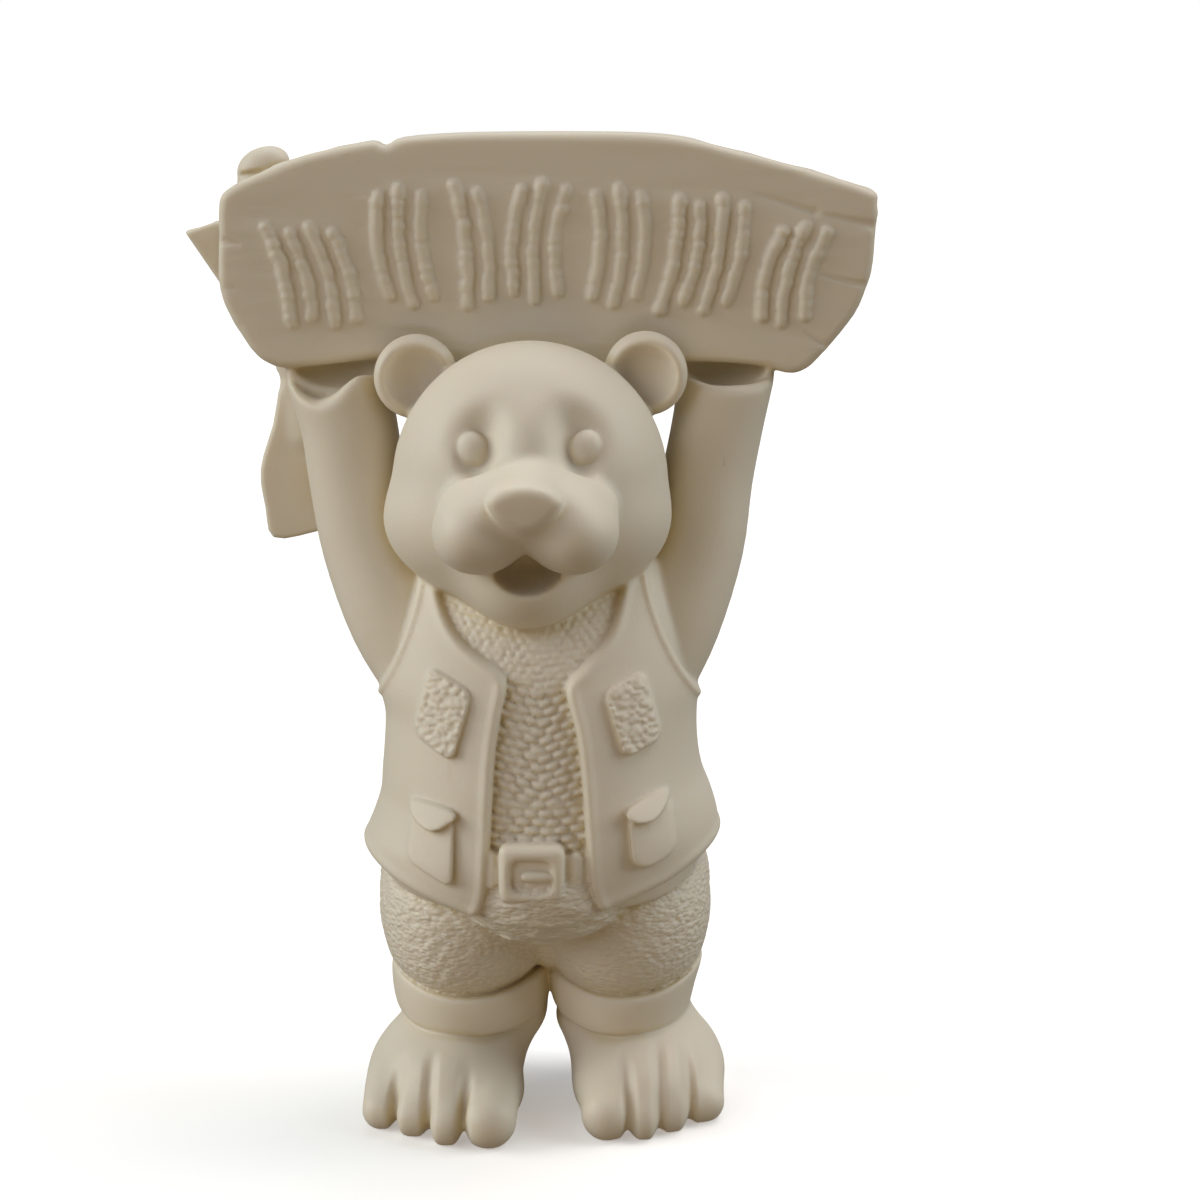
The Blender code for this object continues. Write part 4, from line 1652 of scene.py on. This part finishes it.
@dataclass(frozen=True)
class IvoryPlastic:
    """Matt ivory plastic, a little see-through, with painted warm shade in its creases."""

    body: Vec = (0.76, 0.70, 0.585)
    # Painted shade: creases take a darker, warmer colour that stands in for the shade and warm bounce light
    # falling there.
    crease_shade: Vec = (0.68, 0.59, 0.40)
    crease_shade_span: tuple[float, float] = (0.30, 0.85)     # how shut in a crease starts and is full
    cloud: Vec = (0.955, 0.95, 0.93)
    cloud_scale: float = 45.0
    dust_scale: float = 1400.0
    dust_height: float = 0.0004
    dust_strength: float = 0.12
    roughness: float = 0.52
    ior: float = 1.46
    glow: float = 0.24
    glow_depth: Vec = (0.0050, 0.0036, 0.0020)
    fleece_size: float = 0.0013
    fleece_squash: Vec = (0.7, 0.7, 1.3)
    fleece_height: float = 0.0005
    fleece_strength: float = 0.8
    # Tiny dark specks left in the casting: offsets from the figure's middle and foot, and radius.
    specks: Rows = (
        (0.0167, 0.021, 0.194, 0.00034), (0.0171, 0.021, 0.1936, 0.00038), (0.0175, 0.021, 0.1932, 0.00034),
        (0.0193, 0.021, 0.1939, 0.00036), (0.0181, 0.021, 0.1931, 0.00032))
    speck: Vec = (0.03, 0.022, 0.012)

    def specked(self, tree: bpy.types.NodeTree, where: bpy.types.NodeSocket) -> bpy.types.NodeSocket:
        """How far each place is covered by the dark specks.

        Args:
            tree: The material's nodes.
            where: The place on the piece.

        Returns:
            A socket with 1 in a speck and 0 outside all of them.
        """
        cover = None
        for *offset, radius in self.specks:
            away = wired(tree, "ShaderNodeVectorMath", "Value", {0: where, 1: from_foot(offset)},
                         operation="DISTANCE")
            inside = wired(tree, "ShaderNodeMath", "Value", {0: away, 1: radius}, operation="LESS_THAN")
            cover = inside if cover is None else wired(tree, "ShaderNodeMath", "Value",
                                                       {0: cover, 1: inside}, operation="MAXIMUM")
        return cover

    def woolly(self, tree: bpy.types.NodeTree, where: bpy.types.NodeSocket) -> bpy.types.NodeSocket:
        """Fine curls for the bump, only where the skin is woolly.

        Args:
            tree: The material's nodes.
            where: The place on the piece.

        Returns:
            A socket with the curls' height.
        """
        squashed = wired(tree, "ShaderNodeVectorMath", "Vector", {0: where, 1: self.fleece_squash},
                         operation="MULTIPLY")
        curls = wired(tree, "ShaderNodeTexVoronoi", "Distance",
                      {"Scale": 1.0 / self.fleece_size, "Vector": squashed})
        share = wired(tree, "ShaderNodeAttribute", "Fac", {}, attribute_name="fleece")
        return wired(tree, "ShaderNodeMath", "Value", {0: curls, 1: share}, operation="MULTIPLY")

    def colour(self, tree: bpy.types.NodeTree, where: bpy.types.NodeSocket) -> bpy.types.NodeSocket:
        """Ivory with painted warm shade in its creases, faintly clouded and specked.

        Args:
            tree: The material's nodes.
            where: The place on the piece.

        Returns:
            A socket with the colour.
        """
        # Painted shade: the occlusion mask blends the colour towards the darker, warmer crease colour.
        crease_shade_mask = wired(tree, "ShaderNodeAttribute", "Fac", {}, attribute_name="crease_shade_mask")
        start, full = self.crease_shade_span
        depth = wired(tree, "ShaderNodeMapRange", "Result",
                      {"From Min": start, "From Max": full, "Value": crease_shade_mask})
        crease_shaded = wired(tree, "ShaderNodeMix", "Result",
                     {"A": (*self.body, 1.0), "B": (*self.crease_shade, 1.0), "Factor": depth}, data_type="RGBA")
        clouds = wired(tree, "ShaderNodeTexNoise", "Fac",
                       {"Scale": self.cloud_scale, "Detail": 4.0, "Vector": where})
        mottled = wired(tree, "ShaderNodeMix", "Result",
                        {"A": crease_shaded, "B": (*self.cloud, 1.0), "Factor": clouds},
                        data_type="RGBA", blend_type="MULTIPLY")
        return wired(tree, "ShaderNodeMix", "Result",
                     {"A": mottled, "B": (*self.speck, 1.0), "Factor": self.specked(tree, where)},
                     data_type="RGBA")

    def material(self) -> bpy.types.Material:
        """The whole finish, with its colour, sheen, glow, dust and wool.

        Returns:
            The material.
        """
        material = bpy.data.materials.new("ivory_plastic_cast")
        material.use_nodes = True
        tree = material.node_tree
        shader = tree.nodes["Principled BSDF"]
        for name, value in (("Roughness", self.roughness), ("IOR", self.ior),
                            ("Subsurface Weight", self.glow), ("Subsurface Radius", self.glow_depth),
                            ("Subsurface Scale", 1.0)):
            shader.inputs[name].default_value = value
        where = tree.nodes.new("ShaderNodeTexCoord").outputs["Object"]
        tree.links.new(self.colour(tree, where), shader.inputs["Base Color"])
        dust = wired(tree, "ShaderNodeTexNoise", "Fac",
                     {"Scale": self.dust_scale, "Detail": 3.0, "Vector": where})
        rough = wired(tree, "ShaderNodeBump", "Normal",
                      {"Strength": self.dust_strength, "Distance": self.dust_height, "Height": dust})
        wool = wired(tree, "ShaderNodeBump", "Normal",
                     {"Strength": self.fleece_strength, "Distance": self.fleece_height,
                      "Height": self.woolly(tree, where), "Normal": rough}, invert=True)
        tree.links.new(wool, shader.inputs["Normal"])
        return material


@dataclass
class Studio:
    """A pale floor, soft lights and the camera."""

    aim: Vec = (0.0184, 0.0127, 0.1315)                 # from the middle of the box's bottom
    distance: float = 0.700
    elevation: float = 12.0
    lens: float = 81.61
    softness: float = 40.0
    sky: float = 0.115
    sky_tint: Vec = (1.0, 0.82, 0.68)
    floor_half: float = 6.0
    floor_drop: float = 0.0001
    floor_tint: Vec = (0.93, 0.93, 0.92)
    floor_roughness: float = 0.9
    floor_glow: float = 0.30
    # Each light's name, bearing, height, strength and tint.
    lamps: tuple[tuple[str, float, float, float, Vec], ...] = (
        ("left_key", -90.0, 25.0, 0.520, (0.967, 1.0, 0.955)),
        ("front_left", -45.0, 25.0, 0.195, (0.94, 0.93, 1.0)),
        ("right_fill", 90.0, 25.0, 0.370, (0.877, 0.964, 1.0)),
        ("back_right", 120.0, 60.0, 0.340, (1.0, 0.886, 0.842)),
        ("back_top", 180.0, 60.0, 0.190, (0.75, 0.9, 1.0)),
        ("low_front", 0.0, -25.0, 0.125, (1.0, 0.763, 0.42)))

    def floor(self) -> None:
        """A wide pale floor under the figure."""
        half = self.floor_half
        mesh = bpy.data.meshes.new("studio_floor")
        mesh.from_pydata([(-half, -half, 0.0), (half, -half, 0.0), (half, half, 0.0), (-half, half, 0.0)],
                         [], [(0, 1, 2, 3)])
        floor = bpy.data.objects.new("studio_floor", mesh)
        floor.location.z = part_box(NODE)[0].z - self.floor_drop
        floor.visible_diffuse = floor.visible_glossy = floor.visible_shadow = False
        bpy.context.collection.objects.link(floor)
        material = bpy.data.materials.new("pale_floor")
        material.use_nodes = True
        shader = material.node_tree.nodes["Principled BSDF"]
        for name, value in (("Base Color", (*self.floor_tint, 1.0)), ("Roughness", self.floor_roughness),
                            ("Emission Color", (1.0, 1.0, 1.0, 1.0)), ("Emission Strength", self.floor_glow)):
            shader.inputs[name].default_value = value
        mesh.materials.append(material)

    def light(self, name: str, bearing: float, height: float, share: float, tint: Vec) -> None:
        """A broad soft light from far away.

        Args:
            name: Its name.
            bearing: Direction it comes from, in degrees; 0 is the front and 90 the figure's left.
            height: How high it stands, in degrees.
            share: Its strength, as the brightness that a white card facing it would have.
            tint: Its colour.
        """
        lamp = bpy.data.lights.new(name, "SUN")
        lamp.energy = math.pi * share
        lamp.angle = math.radians(self.softness)
        lamp.color = tint
        holder = bpy.data.objects.new(name, lamp)
        holder.rotation_euler = (math.radians(90.0 - height), 0.0, math.radians(bearing))
        bpy.context.collection.objects.link(holder)

    def lights(self) -> None:
        """Broad lights all round, a weak warm sky, and plain white behind it all."""
        for lamp in self.lamps:
            self.light(*lamp)
        world = bpy.data.worlds.new("studio_sky")
        world.use_nodes = True
        tree = world.node_tree
        sky = tree.nodes["Background"]
        sky.inputs["Color"].default_value = (*self.sky_tint, 1.0)
        sky.inputs["Strength"].default_value = self.sky
        seen = wired(tree, "ShaderNodeBackground", "Background", {"Color": (1.0, 1.0, 1.0, 1.0)})
        straight = wired(tree, "ShaderNodeLightPath", "Is Camera Ray", {})
        either = wired(tree, "ShaderNodeMixShader", "Shader",
                       {"Fac": straight, 1: sky.outputs["Background"], 2: seen})
        tree.links.new(either, tree.nodes["World Output"].inputs["Surface"])
        bpy.context.scene.world = world

    def camera(self) -> None:
        """A long lens a little above the figure, with the figure left of the middle."""
        tilt = math.radians(self.elevation)
        x, y, z = from_foot(self.aim)
        lens = bpy.data.cameras.new("camera")
        lens.lens = self.lens
        lens.sensor_width = 36.0
        holder = bpy.data.objects.new("camera", lens)
        holder.location = (x, y - self.distance * math.cos(tilt), z + self.distance * math.sin(tilt))
        holder.rotation_euler = (math.radians(90.0) - tilt, 0.0, 0.0)
        bpy.context.collection.objects.link(holder)
        bpy.context.scene.camera = holder

    def build(self) -> None:
        """Sets up floor, lights, camera and a plain picture."""
        self.floor()
        self.lights()
        self.camera()
        bpy.context.scene.view_settings.view_transform = "Standard"


def main() -> None:
    """Builds the casting and its studio, and reports each piece."""
    logging.basicConfig(level=logging.INFO, format="%(name)s: %(message)s")
    Studio().build()
    piece = Casting(Figure()).make()
    piece.data.materials.clear()
    piece.data.materials.append(IvoryPlastic().material())
    LOG.info("%s: %d triangles", piece.name, sum(len(face.vertices) - 2 for face in piece.data.polygons))


if __name__ == "__main__":
    main()
